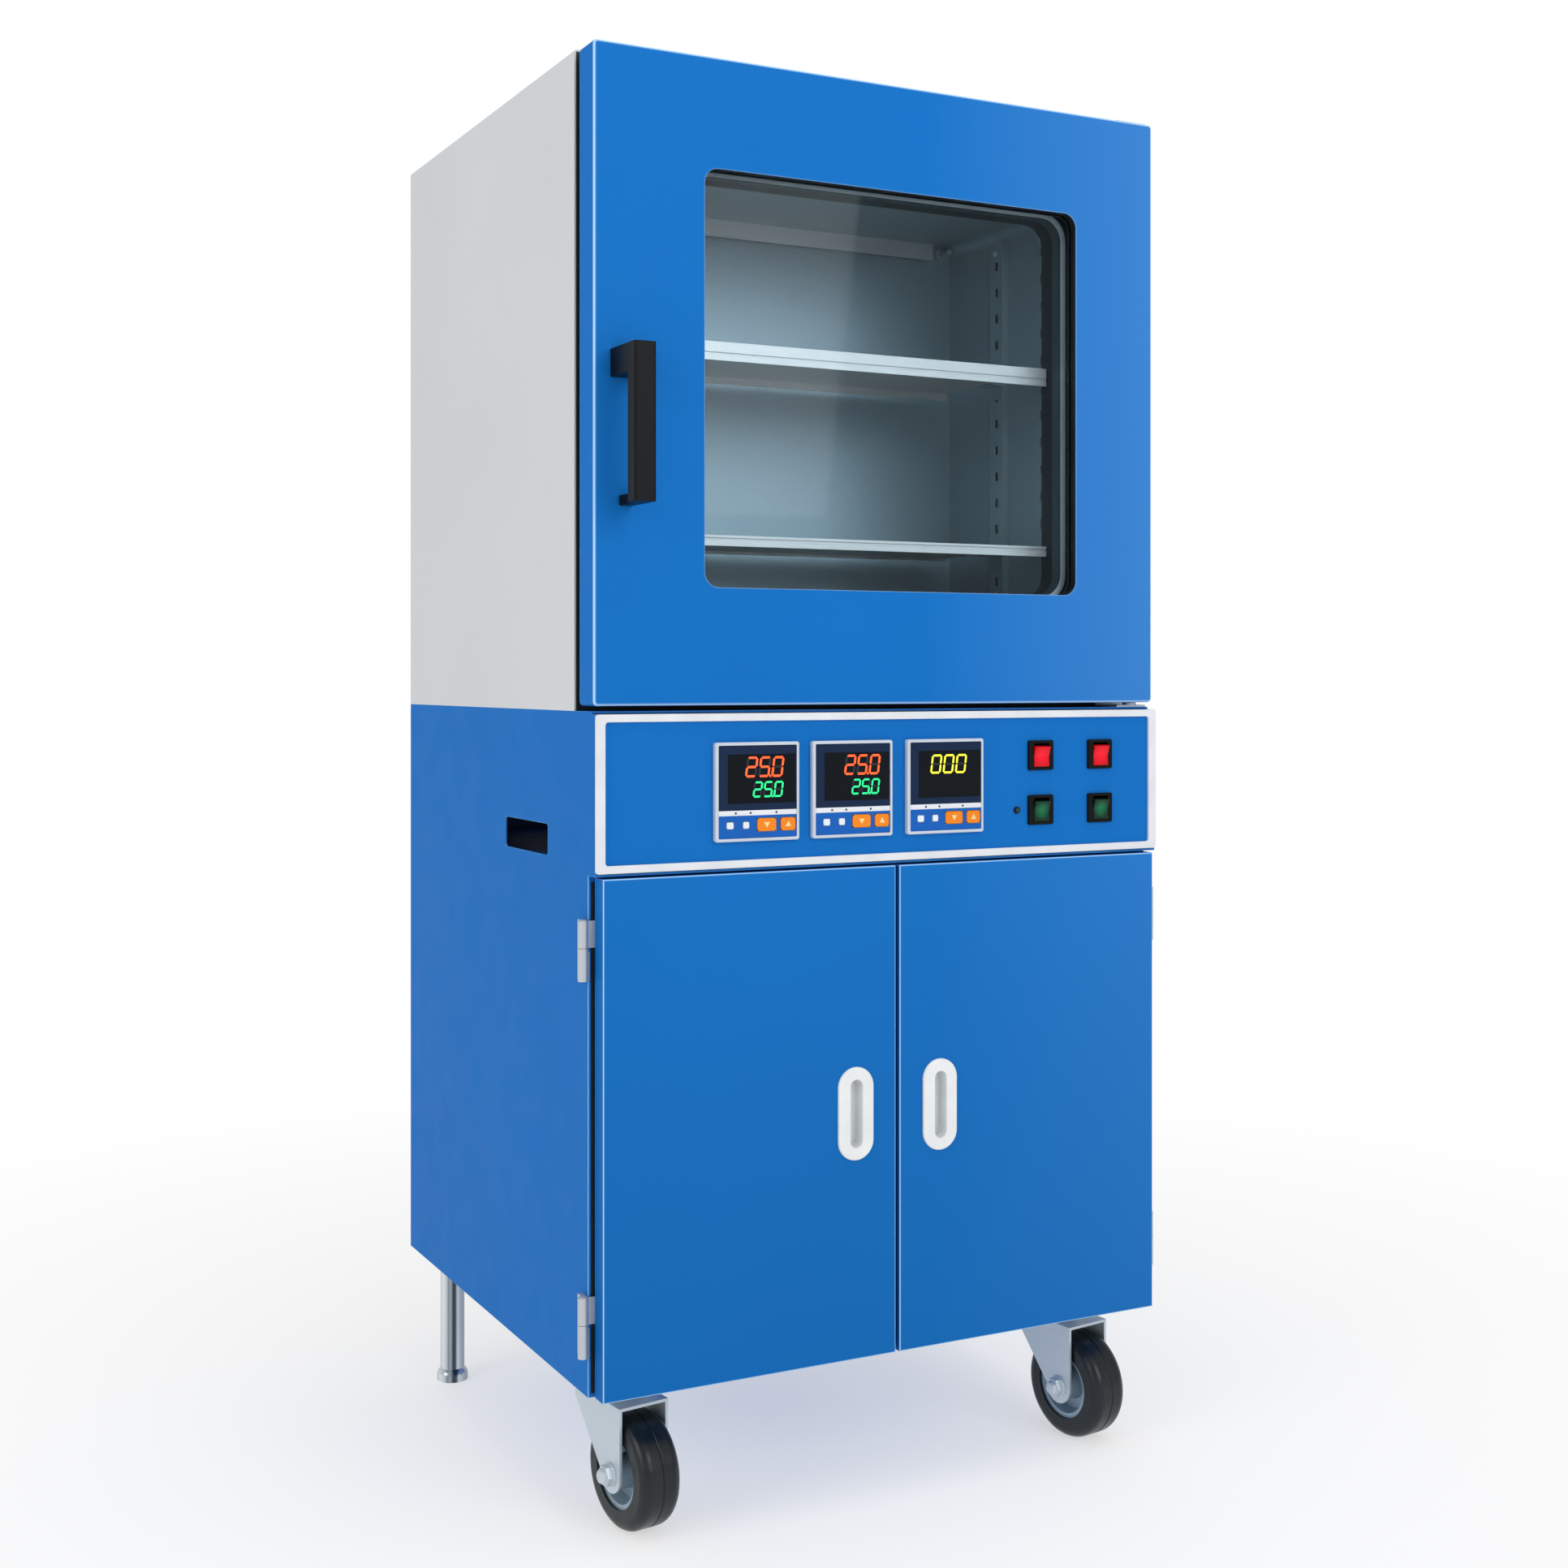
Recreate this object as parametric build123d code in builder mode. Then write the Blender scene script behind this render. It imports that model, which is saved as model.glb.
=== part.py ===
"""Floor-standing vacuum oven on a base cabinet, built as its separate pieces.

Millimetres. X runs to the right seen from the front, Y to the rear and Z up from the floor.
The origin lies on the floor, under the centre of the bounding box.
"""
import os
from math import cos, radians, sin

from build123d import *

os.makedirs("parts", exist_ok=True)

# Widths and depths of the body
body_width = 650.0
body_depth = 586.0
handle_reach = 58.5
port_reach = 60.0
sheet = 2.0
bend_r = 3.0

# The stack of heights, from the floor up
caster_height = 150.0
cabinet_door_height = 490.0
door_to_fascia = 4.7
fascia_height = 149.7
fascia_to_top = 2.6
sill_gap = 5.0
main_door_height = 626.0
main_door_to_top = 3.0

# Front planes, from the chamber door's front
casing_setback = 49.5
main_door_depth = 35.0
fascia_lead = 7.0
fascia_thick = 3.0
cabinet_door_lead = 9.0
cabinet_door_thick = 20.0
cabinet_door_gap = 3.0

# Base cabinet
return_width = 24.0
sill_height = 24.0
deck_over_door = 2.0
top_setback = 12.0
grip_slot_front = 121.0
grip_slot_length = 125.0
grip_slot_height = 31.0
grip_slot_above_deck = 9.0
grip_slot_r = 3.0
cover_inset = 1.0
louvre_length = 90.0
louvre_height = 5.0
louvre_pitch = 12.0
louvre_rows = 6
louvre_spacing = 300.0

# Control panel
fascia_side = 9.5
fascia_bar = 7.5
fascia_corner_r = 3.0
panel_return = 22.0
panel_play = 0.3
controller_size = 96.0
controller_width = 91.0
controller_cutout = 92.0
controller_cutout_width = 87.0
controller_xs = (-157.6, -51.7, 56.7)
controller_drop = 76.1
controller_proud = 6.0
controller_depth = 80.0
controller_border = 3.0
controller_recess = 1.2
controller_r = 2.5
display_width = 74.6
display_height = 48.9
display_drop = 35.6
display_shift = 4.2
display_thick = 1.0
key_hole_play = 0.25
key_proud = 1.2
key_sunk = 4.0
key_floor_gap = 0.9
key_drop = 80.3
key_names = ("set", "shift", "down", "up")
key_offsets = (-30.0, -12.8, 9.6, 32.9)
key_widths = (7.3, 6.5, 20.5, 16.0)
key_heights = (6.5, 6.5, 12.6, 12.6)

# Rocker switches and lamp
switch_shares = (0.5403, 0.7732)
switch_drops = (46.9, 104.0)
switch_width = 31.0
switch_height = 31.0
switch_proud = 3.5
switch_body = 27.0
switch_body_depth = 24.0
rocker_width = 18.5
rocker_height = 21.0
rocker_play = 0.5
rocker_tilt = 8.0
rocker_pivot_depth = 9.0
rocker_proud = 2.2
rocker_dip = 2.0
rocker_stub = 0.3
rocker_stub_d = 4.0
lamp_share = 0.4508
lamp_drop = 103.8
lamp_d = 7.5
lamp_stem_d = 6.0
lamp_proud = 3.0
lamp_depth = 14.0

# Mains inlet
inlet_inset = 120.0
inlet_above_deck = 60.0
inlet_width = 60.0
inlet_height = 31.0
inlet_body_width = 38.0
inlet_body_height = 27.0
inlet_body_depth = 26.0
inlet_flange = 3.0
inlet_recess = 16.0
inlet_pin_pitch = 10.0
inlet_pin_width = 2.5
inlet_pin_height = 6.5

# Chamber door
main_door_r = 4.5
window_left_margin = 115.0
window_right_margin = 100.0
window_above_door = 114.0
window_below_top = 107.5
window_r = 15.0
gasket_depth = 8.0
gasket_width = 12.0
pane_thick = 4.0
pane_edge = 10.0
glass_thick = 15.0
glass_edge = 32.5
glass_r = 20.0
glass_spacer = 4.0
glass_wall = 6.0
glass_lip = 8.0
frame_play = 0.4

# Chamber door's hinge and handle
main_hinge_inset = 18.0
main_hinge_depth = 17.0
main_pin_d = 8.0
main_pin_length = 14.0
hinge_play = 0.05
bracket_thick = 2.2
bracket_width = 38.0
bracket_leg = 34.0
bracket_washer_d = 15.0
washer_play = 0.3
hinge_block = 26.0
hinge_block_height = 18.0
handle_inset = 28.0
handle_width = 22.0
handle_depth = 16.4
handle_below_top = 290.0
handle_length = 147.0
handle_arm = 26.4
handle_foot = 9.5
handle_foot_inset = 9.0
handle_r = 2.5

# Chamber
mouth_margin = 1.5
mouth_r = 24.0
collar_depth = 20.0
chamber_step = 20.0
chamber_depth = 240.0
chamber_wall = 4.0
chamber_r = 14.0
chamber_flange = 3.0
chamber_flange_width = 18.0
seal_width = 16.0
seal_play = 0.3
heater_thick = 3.0
heater_margin = 45.0
insulation_back = 50.0

# Shelves and their supports
shelf_margin = 2.0
shelf_setback = 8.0
shelf_depth = 205.0
shelf_thick = 2.0
shelf_flange = 3.0
shelf_groove = 2.4
shelf_groove_depth = 1.2
shelf_lip = 5.7
shelf_shares = (0.387, 0.864)
shelf_edges = (19.0, 11.0)
upright_width = 26.0
upright_depth = 8.0
upright_margin = 16.0
upright_setbacks = (24.0, 114.5)
slot_width = 6.5
slot_height = 10.0
slot_pitch = 30.0
clip_length = 30.0
clip_thick = 2.0
clip_height = 16.0
clip_reach = 18.0

# Fittings on the chamber's rear wall
baffle_height = 19.0
baffle_depth = 12.0
baffle_end_inset = 33.0
probe_d = 8.0
probe_length = 40.0
probe_head_d = 14.0
probe_inset = 14.0
probe_drop = 9.0
vacuum_inset = 205.0
vacuum_drop = 70.0
vacuum_bore = 19.0
vacuum_nozzle_d = 25.0
vent_inset = 135.0
vent_bore = 6.0
vent_nozzle_d = 10.0
vent_reach = 42.0
nozzle_barb = 1.2
nozzle_flange_d = 44.0
nozzle_flange_thick = 4.0
valve_width = 46.0
valve_height = 62.0
valve_length = 54.0
pipe_play = 0.5

# Cabinet doors, hinges and pulls
cabinet_door_inset = 6.0
cabinet_door_split = 4.5
door_return = 16.0
door_edge_r = 1.5
hinge_out = 5.3
hinge_back = 22.0
knuckle_d = 10.0
knuckle_pin_d = 5.0
cabinet_hinge_length = 57.0
knuckle_share = 0.45
knuckle_gap = 0.4
cabinet_hinge_insets = (67.0, 68.5)
leaf_depth = 14.0
leaf_thick = 2.0
leaf_reach = 12.0
pull_x = 49.0
pull_above_door = 245.0
pull_width = 40.0
pull_height = 93.0
pull_proud = 3.0
pull_body_inset = 4.0
pull_depth = 15.0
pull_slot_width = 14.0
pull_slot_height = 68.0
pull_slot_depth = 12.5
pull_cut_play = 0.3

# Casters
caster_x = 263.0
caster_turn = 8.0
caster_back = 94.5
caster_trail = 35.0
wheel_d = 112.0
tyre_width = 44.0
tyre_height = 21.0
tyre_shoulder_r = 11.0
tyre_groove = 1.2
hub_width = 38.0
hub_web = 12.0
hub_boss_d = 30.0
hub_rim = 5.0
wheel_play = 2.5
fork_thick = 3.0
fork_top_length = 86.0
fork_lead = 18.0
fork_eye_r = 18.0
fork_skirt = 10.0
crown_drop = 26.0
race_d = 62.0
race_neck_d = 50.0
race_neck = 11.0
race_gap = 0.4
king_pin_d = 12.0
king_head_d = 20.0
caster_plate_length = 100.0
caster_plate_width = 84.0
caster_plate_thick = 3.0
plate_hole_margin = 10.0
axle_d = 10.0
axle_head_d = 17.0
axle_head = 7.0

# Rear legs
leg_x = 288.0
leg_rear_inset = 48.0
leg_d = 28.0
leg_plate_d = 60.0
leg_plate_thick = 4.0
leg_foot_d = 36.0
leg_foot_height = 5.0
leg_foot_flare = 9.0

# Derived planes
total_depth = handle_reach + body_depth + port_reach
door_y = handle_reach - total_depth / 2
rear_y = door_y + body_depth
rear_inner_y = rear_y - sheet
casing_y = door_y + casing_setback
fascia_y = door_y - fascia_lead
panel_y = fascia_y + fascia_thick
cabinet_door_y = door_y - cabinet_door_lead
cabinet_y = cabinet_door_y + cabinet_door_thick + cabinet_door_gap
half_width = body_width / 2
inner_half = half_width - sheet
window_width = body_width - window_left_margin - window_right_margin
window_shift = (window_left_margin - window_right_margin) / 2
window_height = main_door_height - window_above_door - window_below_top
handle_x = handle_inset - half_width
switch_xs = [share * half_width for share in switch_shares]
lamp_x = lamp_share * half_width
inlet_x = half_width - inlet_inset
vent_x = vent_inset - half_width
vacuum_x = vacuum_inset - half_width
shelf_drops = [share * window_height for share in shelf_shares]

cabinet_low_z = caster_height
cabinet_door_top_z = cabinet_low_z + cabinet_door_height
cabinet_hinge_zs = (
    cabinet_low_z + cabinet_hinge_insets[0],
    cabinet_door_top_z - cabinet_hinge_insets[1],
)
pull_z = cabinet_low_z + pull_above_door
deck_z = cabinet_door_top_z + deck_over_door
fascia_low_z = cabinet_door_top_z + door_to_fascia
fascia_top_z = fascia_low_z + fascia_height
cabinet_top_z = fascia_top_z + fascia_to_top
main_door_low_z = cabinet_top_z + sill_gap
main_door_top_z = main_door_low_z + main_door_height
total_height = main_door_top_z + main_door_to_top
main_door_mid_z = (main_door_low_z + main_door_top_z) / 2
fascia_mid_z = (fascia_low_z + fascia_top_z) / 2

handle_top_z = main_door_top_z - handle_below_top
window_mid_z = main_door_low_z + window_above_door + window_height / 2
mouth_width = window_width + 2 * mouth_margin
mouth_height = window_height
collar_width = mouth_width + 2 * sheet
collar_height = mouth_height + 2 * sheet
chamber_width = mouth_width + 2 * chamber_step
chamber_height = mouth_height + 2 * chamber_step
chamber_outer_width = chamber_width + 2 * chamber_wall
chamber_outer_height = chamber_height + 2 * chamber_wall
chamber_front_y = casing_y + sheet
chamber_back_y = casing_y + chamber_depth
chamber_top_z = window_mid_z + chamber_height / 2
insulation_y = chamber_back_y + chamber_wall + insulation_back


def front(y):
    """Return the upright plane that faces the front at depth y."""
    return Plane(origin=(0, y, 0), x_dir=(1, 0, 0), z_dir=(0, -1, 0))


def side(x):
    """Return the upright plane that faces the right at width x, with Y across and Z up."""
    return Plane(origin=(x, 0, 0), x_dir=(0, 1, 0), z_dir=(1, 0, 0))


def save(part, name):
    """Label a finished piece and write it to its own file."""
    part.label = name
    export_step(part, f"parts/{name}.step")


# Carcass of the base cabinet: floor, sides, deck and top, with returned front edges
with BuildPart() as cabinet_shell:
    with BuildSketch(side(-half_width)):
        with BuildLine():
            Polyline(
                (cabinet_y, cabinet_low_z),
                (rear_inner_y, cabinet_low_z),
                (rear_inner_y, cabinet_top_z),
                (panel_y + top_setback, cabinet_top_z),
                (panel_y + top_setback, fascia_top_z),
                (panel_y, fascia_top_z),
                (panel_y, deck_z),
                (cabinet_y, deck_z),
                close=True,
            )
        make_face()
    extrude(amount=body_width)
    with BuildSketch(side(-inner_half)):
        with BuildLine():
            Polyline(
                (cabinet_y + sheet, cabinet_low_z + sheet),
                (rear_inner_y, cabinet_low_z + sheet),
                (rear_inner_y, deck_z),
                (cabinet_y + sheet, deck_z),
                close=True,
            )
        make_face()
        with BuildLine():
            Polyline(
                (panel_y, deck_z + sheet),
                (rear_inner_y, deck_z + sheet),
                (rear_inner_y, cabinet_top_z - sheet),
                (panel_y, cabinet_top_z - sheet),
                close=True,
            )
        make_face()
    extrude(amount=2 * inner_half, mode=Mode.SUBTRACT)
    opening_low_z = cabinet_low_z + sill_height
    opening_height = deck_z - sill_height - opening_low_z
    with BuildSketch(front(cabinet_y)):
        with Locations((0, opening_low_z + opening_height / 2)):
            Rectangle(body_width - 2 * return_width, opening_height)
    extrude(amount=-sheet, mode=Mode.SUBTRACT)
    with BuildSketch(side(-half_width)):
        with Locations((
            door_y + grip_slot_front + grip_slot_length / 2,
            deck_z + sheet + grip_slot_above_deck + grip_slot_height / 2,
        )):
            RectangleRounded(grip_slot_length, grip_slot_height, grip_slot_r)
    extrude(amount=body_width, mode=Mode.SUBTRACT)
    fillet(
        cabinet_shell.edges().filter_by(Axis.Z).filter_by_position(Axis.Y, cabinet_y, cabinet_y)
        .sort_by(Axis.X)[0:1]
        + cabinet_shell.edges().filter_by(Axis.Z).filter_by_position(Axis.Y, cabinet_y, cabinet_y)
        .sort_by(Axis.X)[-1:],
        bend_r / 2,
    )
save(cabinet_shell.part, "cabinet_shell")

# Rear panel of the cabinet, with louvres for the instrument bay
cabinet_back_height = cabinet_top_z - cabinet_low_z - 2 * cover_inset
louvre_z = deck_z + (cabinet_top_z - deck_z) / 2
with BuildPart() as cabinet_back:
    with BuildSketch(front(rear_inner_y)):
        with Locations((0, (cabinet_low_z + cabinet_top_z) / 2)):
            Rectangle(body_width - 2 * cover_inset, cabinet_back_height)
        with Locations((-louvre_spacing / 2, louvre_z)):
            with GridLocations(0, louvre_pitch, 1, louvre_rows):
                SlotOverall(louvre_length, louvre_height, mode=Mode.SUBTRACT)
        with Locations((inlet_x, deck_z + inlet_above_deck)):
            Rectangle(inlet_body_width, inlet_body_height, mode=Mode.SUBTRACT)
    extrude(amount=-sheet)
save(cabinet_back.part, "cabinet_back")

# Mains inlet: flanged body with a recess and three flat contacts
with BuildPart() as mains_inlet:
    with BuildSketch(front(rear_y)):
        with Locations((inlet_x, deck_z + inlet_above_deck)):
            RectangleRounded(inlet_width, inlet_height, fascia_corner_r)
    extrude(amount=-inlet_flange)
    with BuildSketch(front(rear_y)):
        with Locations((inlet_x, deck_z + inlet_above_deck)):
            Rectangle(inlet_body_width, inlet_body_height)
    extrude(amount=inlet_body_depth)
    with BuildSketch(front(rear_y + inlet_flange)):
        with Locations((inlet_x, deck_z + inlet_above_deck)):
            RectangleRounded(inlet_body_width - 8, inlet_body_height - 6, fascia_corner_r)
            with GridLocations(inlet_pin_pitch, 0, 3, 1):
                Rectangle(inlet_pin_width, inlet_pin_height, mode=Mode.SUBTRACT)
    extrude(amount=inlet_recess, mode=Mode.SUBTRACT)
save(mains_inlet.part, "mains_inlet")

# Off-white trim round the control panel
with BuildPart() as fascia_frame:
    with BuildSketch(front(panel_y)):
        with Locations((0, fascia_mid_z)):
            RectangleRounded(body_width, fascia_height, fascia_corner_r)
            RectangleRounded(
                body_width - 2 * fascia_side,
                fascia_height - 2 * fascia_bar,
                fascia_corner_r,
                mode=Mode.SUBTRACT,
            )
    extrude(amount=fascia_thick)
    chamfer(fascia_frame.faces().sort_by(Axis.Y)[0].edges(), fascia_thick / 6)
save(fascia_frame.part, "fascia_frame")

# Blue panel behind the trim, a pan with the instrument cut-outs
controller_z = fascia_top_z - controller_drop
switch_centres = [(x, fascia_top_z - drop) for drop in switch_drops for x in switch_xs]
lamp_z = fascia_top_z - lamp_drop
panel_width = 2 * inner_half - 2 * panel_play
with BuildPart() as control_panel:
    with BuildSketch(front(panel_y)):
        with Locations((0, fascia_mid_z)):
            Rectangle(panel_width, fascia_height - 2 * panel_play)
    extrude(amount=-panel_return)
    with BuildSketch(front(panel_y + sheet)):
        with Locations((0, fascia_mid_z)):
            Rectangle(panel_width - 2 * sheet, fascia_height - 2 * panel_play - 2 * sheet)
    extrude(amount=-panel_return, mode=Mode.SUBTRACT)
    with BuildSketch(front(panel_y)):
        with Locations([(x, controller_z) for x in controller_xs]):
            Rectangle(controller_cutout_width, controller_cutout)
        with Locations(switch_centres):
            Rectangle(switch_body, switch_body)
        with Locations((lamp_x, lamp_z)):
            Circle(lamp_stem_d / 2)
    extrude(amount=-sheet, mode=Mode.SUBTRACT)
save(control_panel.part, "control_panel")

# Panel controllers: bezel, recessed face, key wells and the case behind the panel
controller_top_z = controller_z + controller_size / 2
controller_face_y = panel_y - controller_proud + controller_recess
key_z = controller_top_z - key_drop
display_z = controller_top_z - display_drop
display_xs = [x + display_shift for x in controller_xs]
key_well = key_sunk + key_floor_gap
with BuildPart() as controller_cases:
    with BuildSketch(front(panel_y)):
        with Locations([(x, controller_z) for x in controller_xs]):
            RectangleRounded(controller_width, controller_size, controller_r)
    extrude(amount=controller_proud)
    chamfer(controller_cases.faces().filter_by(Axis.Y).group_by(Axis.Y)[0].edges(), 1.0)
    with BuildSketch(front(panel_y)):
        with Locations([(x, controller_z) for x in controller_xs]):
            Rectangle(controller_cutout_width, controller_cutout)
    extrude(amount=-controller_depth)
    with BuildSketch(front(panel_y - controller_proud)):
        with Locations([(x, controller_z) for x in controller_xs]):
            RectangleRounded(
                controller_width - 2 * controller_border,
                controller_size - 2 * controller_border,
                controller_r / 2,
            )
    extrude(amount=-controller_recess, mode=Mode.SUBTRACT)
    with BuildSketch(front(controller_face_y)):
        with Locations([(x, display_z) for x in display_xs]):
            Rectangle(display_width, display_height)
    extrude(amount=-display_thick, mode=Mode.SUBTRACT)
    with BuildSketch(front(controller_face_y)):
        for x in controller_xs:
            for offset_x, width, height in zip(key_offsets, key_widths, key_heights):
                with Locations((x + offset_x, key_z)):
                    Rectangle(width + 2 * key_hole_play, height + 2 * key_hole_play)
    extrude(amount=-key_well, mode=Mode.SUBTRACT)
save(controller_cases.part, "controller_cases")

with BuildPart() as display_windows:
    with BuildSketch(front(controller_face_y)):
        with Locations([(x, display_z) for x in display_xs]):
            Rectangle(display_width, display_height)
    extrude(amount=-display_thick)
save(display_windows.part, "display_windows")

for number, x in enumerate(controller_xs, start=1):
    for key_name, offset_x, width, height in zip(key_names, key_offsets, key_widths, key_heights):
        with BuildPart() as key:
            with BuildSketch(front(controller_face_y - key_proud)):
                with Locations((x + offset_x, key_z)):
                    RectangleRounded(width, height, min(width, height) / 4)
            extrude(amount=-(key_proud + key_sunk))
            fillet(key.faces().sort_by(Axis.Y)[0].edges(), 0.4)
        save(key.part, f"key_{number}_{key_name}")

# Rocker switches: housings with a well, and the rockers tilted to off
rocker_front = rocker_pivot_depth + rocker_proud
with BuildPart() as switch_housings:
    with BuildSketch(front(panel_y)):
        with Locations(switch_centres):
            RectangleRounded(switch_width, switch_height, 2)
    extrude(amount=switch_proud)
    chamfer(switch_housings.faces().filter_by(Axis.Y).group_by(Axis.Y)[0].edges(), 0.8)
    with BuildSketch(front(panel_y)):
        with Locations(switch_centres):
            Rectangle(switch_body, switch_body)
    extrude(amount=-switch_body_depth)
    rocker_well = rocker_pivot_depth + rocker_height / 3
    well_height = (
        2 * rocker_front * sin(radians(rocker_tilt))
        + rocker_height * cos(radians(rocker_tilt))
        + 2 * rocker_play
    )
    with BuildSketch(front(panel_y - switch_proud)):
        with Locations(switch_centres):
            Rectangle(rocker_width + 2 * rocker_play, well_height)
    extrude(amount=-rocker_well, mode=Mode.SUBTRACT)
save(switch_housings.part, "switch_housings")

rocker_names = ("left_heat_rocker", "right_heat_rocker", "pump_rocker", "vent_rocker")
rocker_pivot_y = panel_y - switch_proud + rocker_pivot_depth
for name, (x, z) in zip(rocker_names, switch_centres):
    tilt = radians(rocker_tilt)
    tilted = Plane(
        origin=(x - rocker_width / 2, rocker_pivot_y, z),
        x_dir=(0, cos(tilt), sin(tilt)),
        z_dir=(1, 0, 0),
    )
    with BuildPart() as rocker:
        with BuildSketch(tilted):
            with BuildLine():
                Line((-rocker_front, rocker_height / 2), (-rocker_front + rocker_dip, 0))
                Line((-rocker_front + rocker_dip, 0), (-rocker_front, -rocker_height / 2))
                Line((-rocker_front, -rocker_height / 2), (-rocker_pivot_depth / 2, -rocker_height / 2))
                ThreePointArc(
                    (-rocker_pivot_depth / 2, -rocker_height / 2),
                    (rocker_pivot_depth / 4, 0),
                    (-rocker_pivot_depth / 2, rocker_height / 2),
                )
                Line((-rocker_pivot_depth / 2, rocker_height / 2), (-rocker_front, rocker_height / 2))
            make_face()
        extrude(amount=rocker_width)
        with BuildSketch(tilted.offset(-rocker_stub)):
            Circle(rocker_stub_d / 2)
        extrude(amount=rocker_width + 2 * rocker_stub)
    save(rocker.part, name)

# Indicator lamp with a domed lens
with BuildPart() as indicator_lamp:
    with BuildSketch(front(panel_y)):
        with Locations((lamp_x, lamp_z)):
            Circle(lamp_d / 2)
    extrude(amount=lamp_proud)
    fillet(indicator_lamp.faces().sort_by(Axis.Y)[0].edges(), lamp_proud * 0.8)
    with BuildSketch(front(panel_y)):
        with Locations((lamp_x, lamp_z)):
            Circle(lamp_stem_d / 2)
    extrude(amount=-lamp_depth)
save(indicator_lamp.part, "indicator_lamp")

# Upper casing: a pale wrap of two sides and the top
with BuildPart() as upper_casing:
    with BuildSketch(front(casing_y)):
        with Locations((0, (cabinet_top_z + total_height) / 2)):
            Rectangle(body_width, total_height - cabinet_top_z)
    extrude(amount=-(rear_inner_y - casing_y))
    fillet(
        upper_casing.edges().filter_by(Axis.Y).group_by(Axis.Z)[-1],
        bend_r,
    )
    with BuildSketch(front(casing_y)):
        with Locations((0, (cabinet_top_z + total_height - sheet) / 2)):
            Rectangle(2 * inner_half, total_height - sheet - cabinet_top_z)
    extrude(amount=-(rear_inner_y - casing_y), mode=Mode.SUBTRACT)
save(upper_casing.part, "upper_casing")

# Rear cover, with holes for both nozzles and two banks of louvres
vacuum_z = chamber_top_z - vacuum_drop
with BuildPart() as rear_cover:
    with BuildSketch(front(rear_inner_y)):
        with Locations((0, (cabinet_top_z + total_height) / 2)):
            Rectangle(
                body_width - 2 * cover_inset,
                total_height - cabinet_top_z - 2 * cover_inset,
            )
        with Locations((vacuum_x, vacuum_z)):
            Circle(vacuum_nozzle_d / 2 + pipe_play, mode=Mode.SUBTRACT)
        with Locations((vent_x, vacuum_z)):
            Circle(vent_nozzle_d / 2 + pipe_play, mode=Mode.SUBTRACT)
        with Locations((0, cabinet_top_z + louvre_rows * louvre_pitch)):
            with GridLocations(louvre_spacing, louvre_pitch, 2, louvre_rows):
                SlotOverall(louvre_length, louvre_height, mode=Mode.SUBTRACT)
    extrude(amount=-sheet)
save(rear_cover.part, "rear_cover")

# Dark frame that closes the casing's front round the chamber's mouth, with a collar
with BuildPart() as front_frame:
    with BuildSketch(front(casing_y)):
        with Locations((0, (cabinet_top_z + total_height - sheet) / 2)):
            Rectangle(2 * inner_half, total_height - sheet - cabinet_top_z)
    extrude(amount=-sheet)
    with BuildSketch(front(casing_y)):
        with Locations((window_shift, window_mid_z)):
            RectangleRounded(collar_width, collar_height, mouth_r + sheet)
    extrude(amount=-collar_depth)
    with BuildSketch(front(casing_y)):
        with Locations((window_shift, window_mid_z)):
            RectangleRounded(mouth_width, mouth_height, mouth_r)
    extrude(amount=-collar_depth, mode=Mode.SUBTRACT)
save(front_frame.part, "front_frame")

# Chamber: rounded liner with a front flange that seats on the frame
with BuildPart() as chamber:
    with BuildSketch(front(chamber_front_y)):
        with Locations((window_shift, window_mid_z)):
            RectangleRounded(
                chamber_outer_width, chamber_outer_height, chamber_r + chamber_wall
            )
    extrude(amount=-(chamber_back_y + chamber_wall - chamber_front_y))
    with BuildSketch(front(chamber_front_y)):
        with Locations((window_shift, window_mid_z)):
            RectangleRounded(
                chamber_outer_width + 2 * chamber_flange_width,
                chamber_outer_height + 2 * chamber_flange_width,
                chamber_r + chamber_wall,
            )
    extrude(amount=-chamber_flange)
    with BuildSketch(front(chamber_front_y + chamber_flange)):
        with Locations((window_shift, window_mid_z)):
            RectangleRounded(chamber_width, chamber_height, chamber_r)
    extrude(amount=-(chamber_back_y - chamber_front_y - chamber_flange), mode=Mode.SUBTRACT)
    with BuildSketch(front(chamber_front_y)):
        with Locations((window_shift, window_mid_z)):
            RectangleRounded(collar_width, collar_height, mouth_r + sheet)
    extrude(amount=-chamber_flange, mode=Mode.SUBTRACT)
    with BuildSketch(front(chamber_back_y)):
        with Locations((vacuum_x, vacuum_z)):
            Circle(vacuum_nozzle_d / 2)
        with Locations((vent_x, vacuum_z)):
            Circle(vent_nozzle_d / 2)
        with Locations((
            window_shift + chamber_width / 2 - probe_inset,
            chamber_top_z - probe_drop,
        )):
            Circle(probe_d / 2)
    extrude(amount=-chamber_wall, mode=Mode.SUBTRACT)
save(chamber.part, "chamber")

# Door seal: a ring with a rounded bead towards the glass
glass_y = door_y + sheet + gasket_depth + pane_thick + glass_spacer
glass_back_y = glass_y + glass_thick
with BuildPart() as door_seal:
    with BuildSketch(front(casing_y)):
        with Locations((window_shift, window_mid_z)):
            RectangleRounded(
                mouth_width + 2 * seal_width, mouth_height + 2 * seal_width, mouth_r + seal_width
            )
            RectangleRounded(mouth_width, mouth_height, mouth_r, mode=Mode.SUBTRACT)
    extrude(amount=casing_y - glass_back_y - seal_play)
    fillet(door_seal.faces().sort_by(Axis.Y)[0].edges(), seal_width / 4)
save(door_seal.part, "door_seal")

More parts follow.
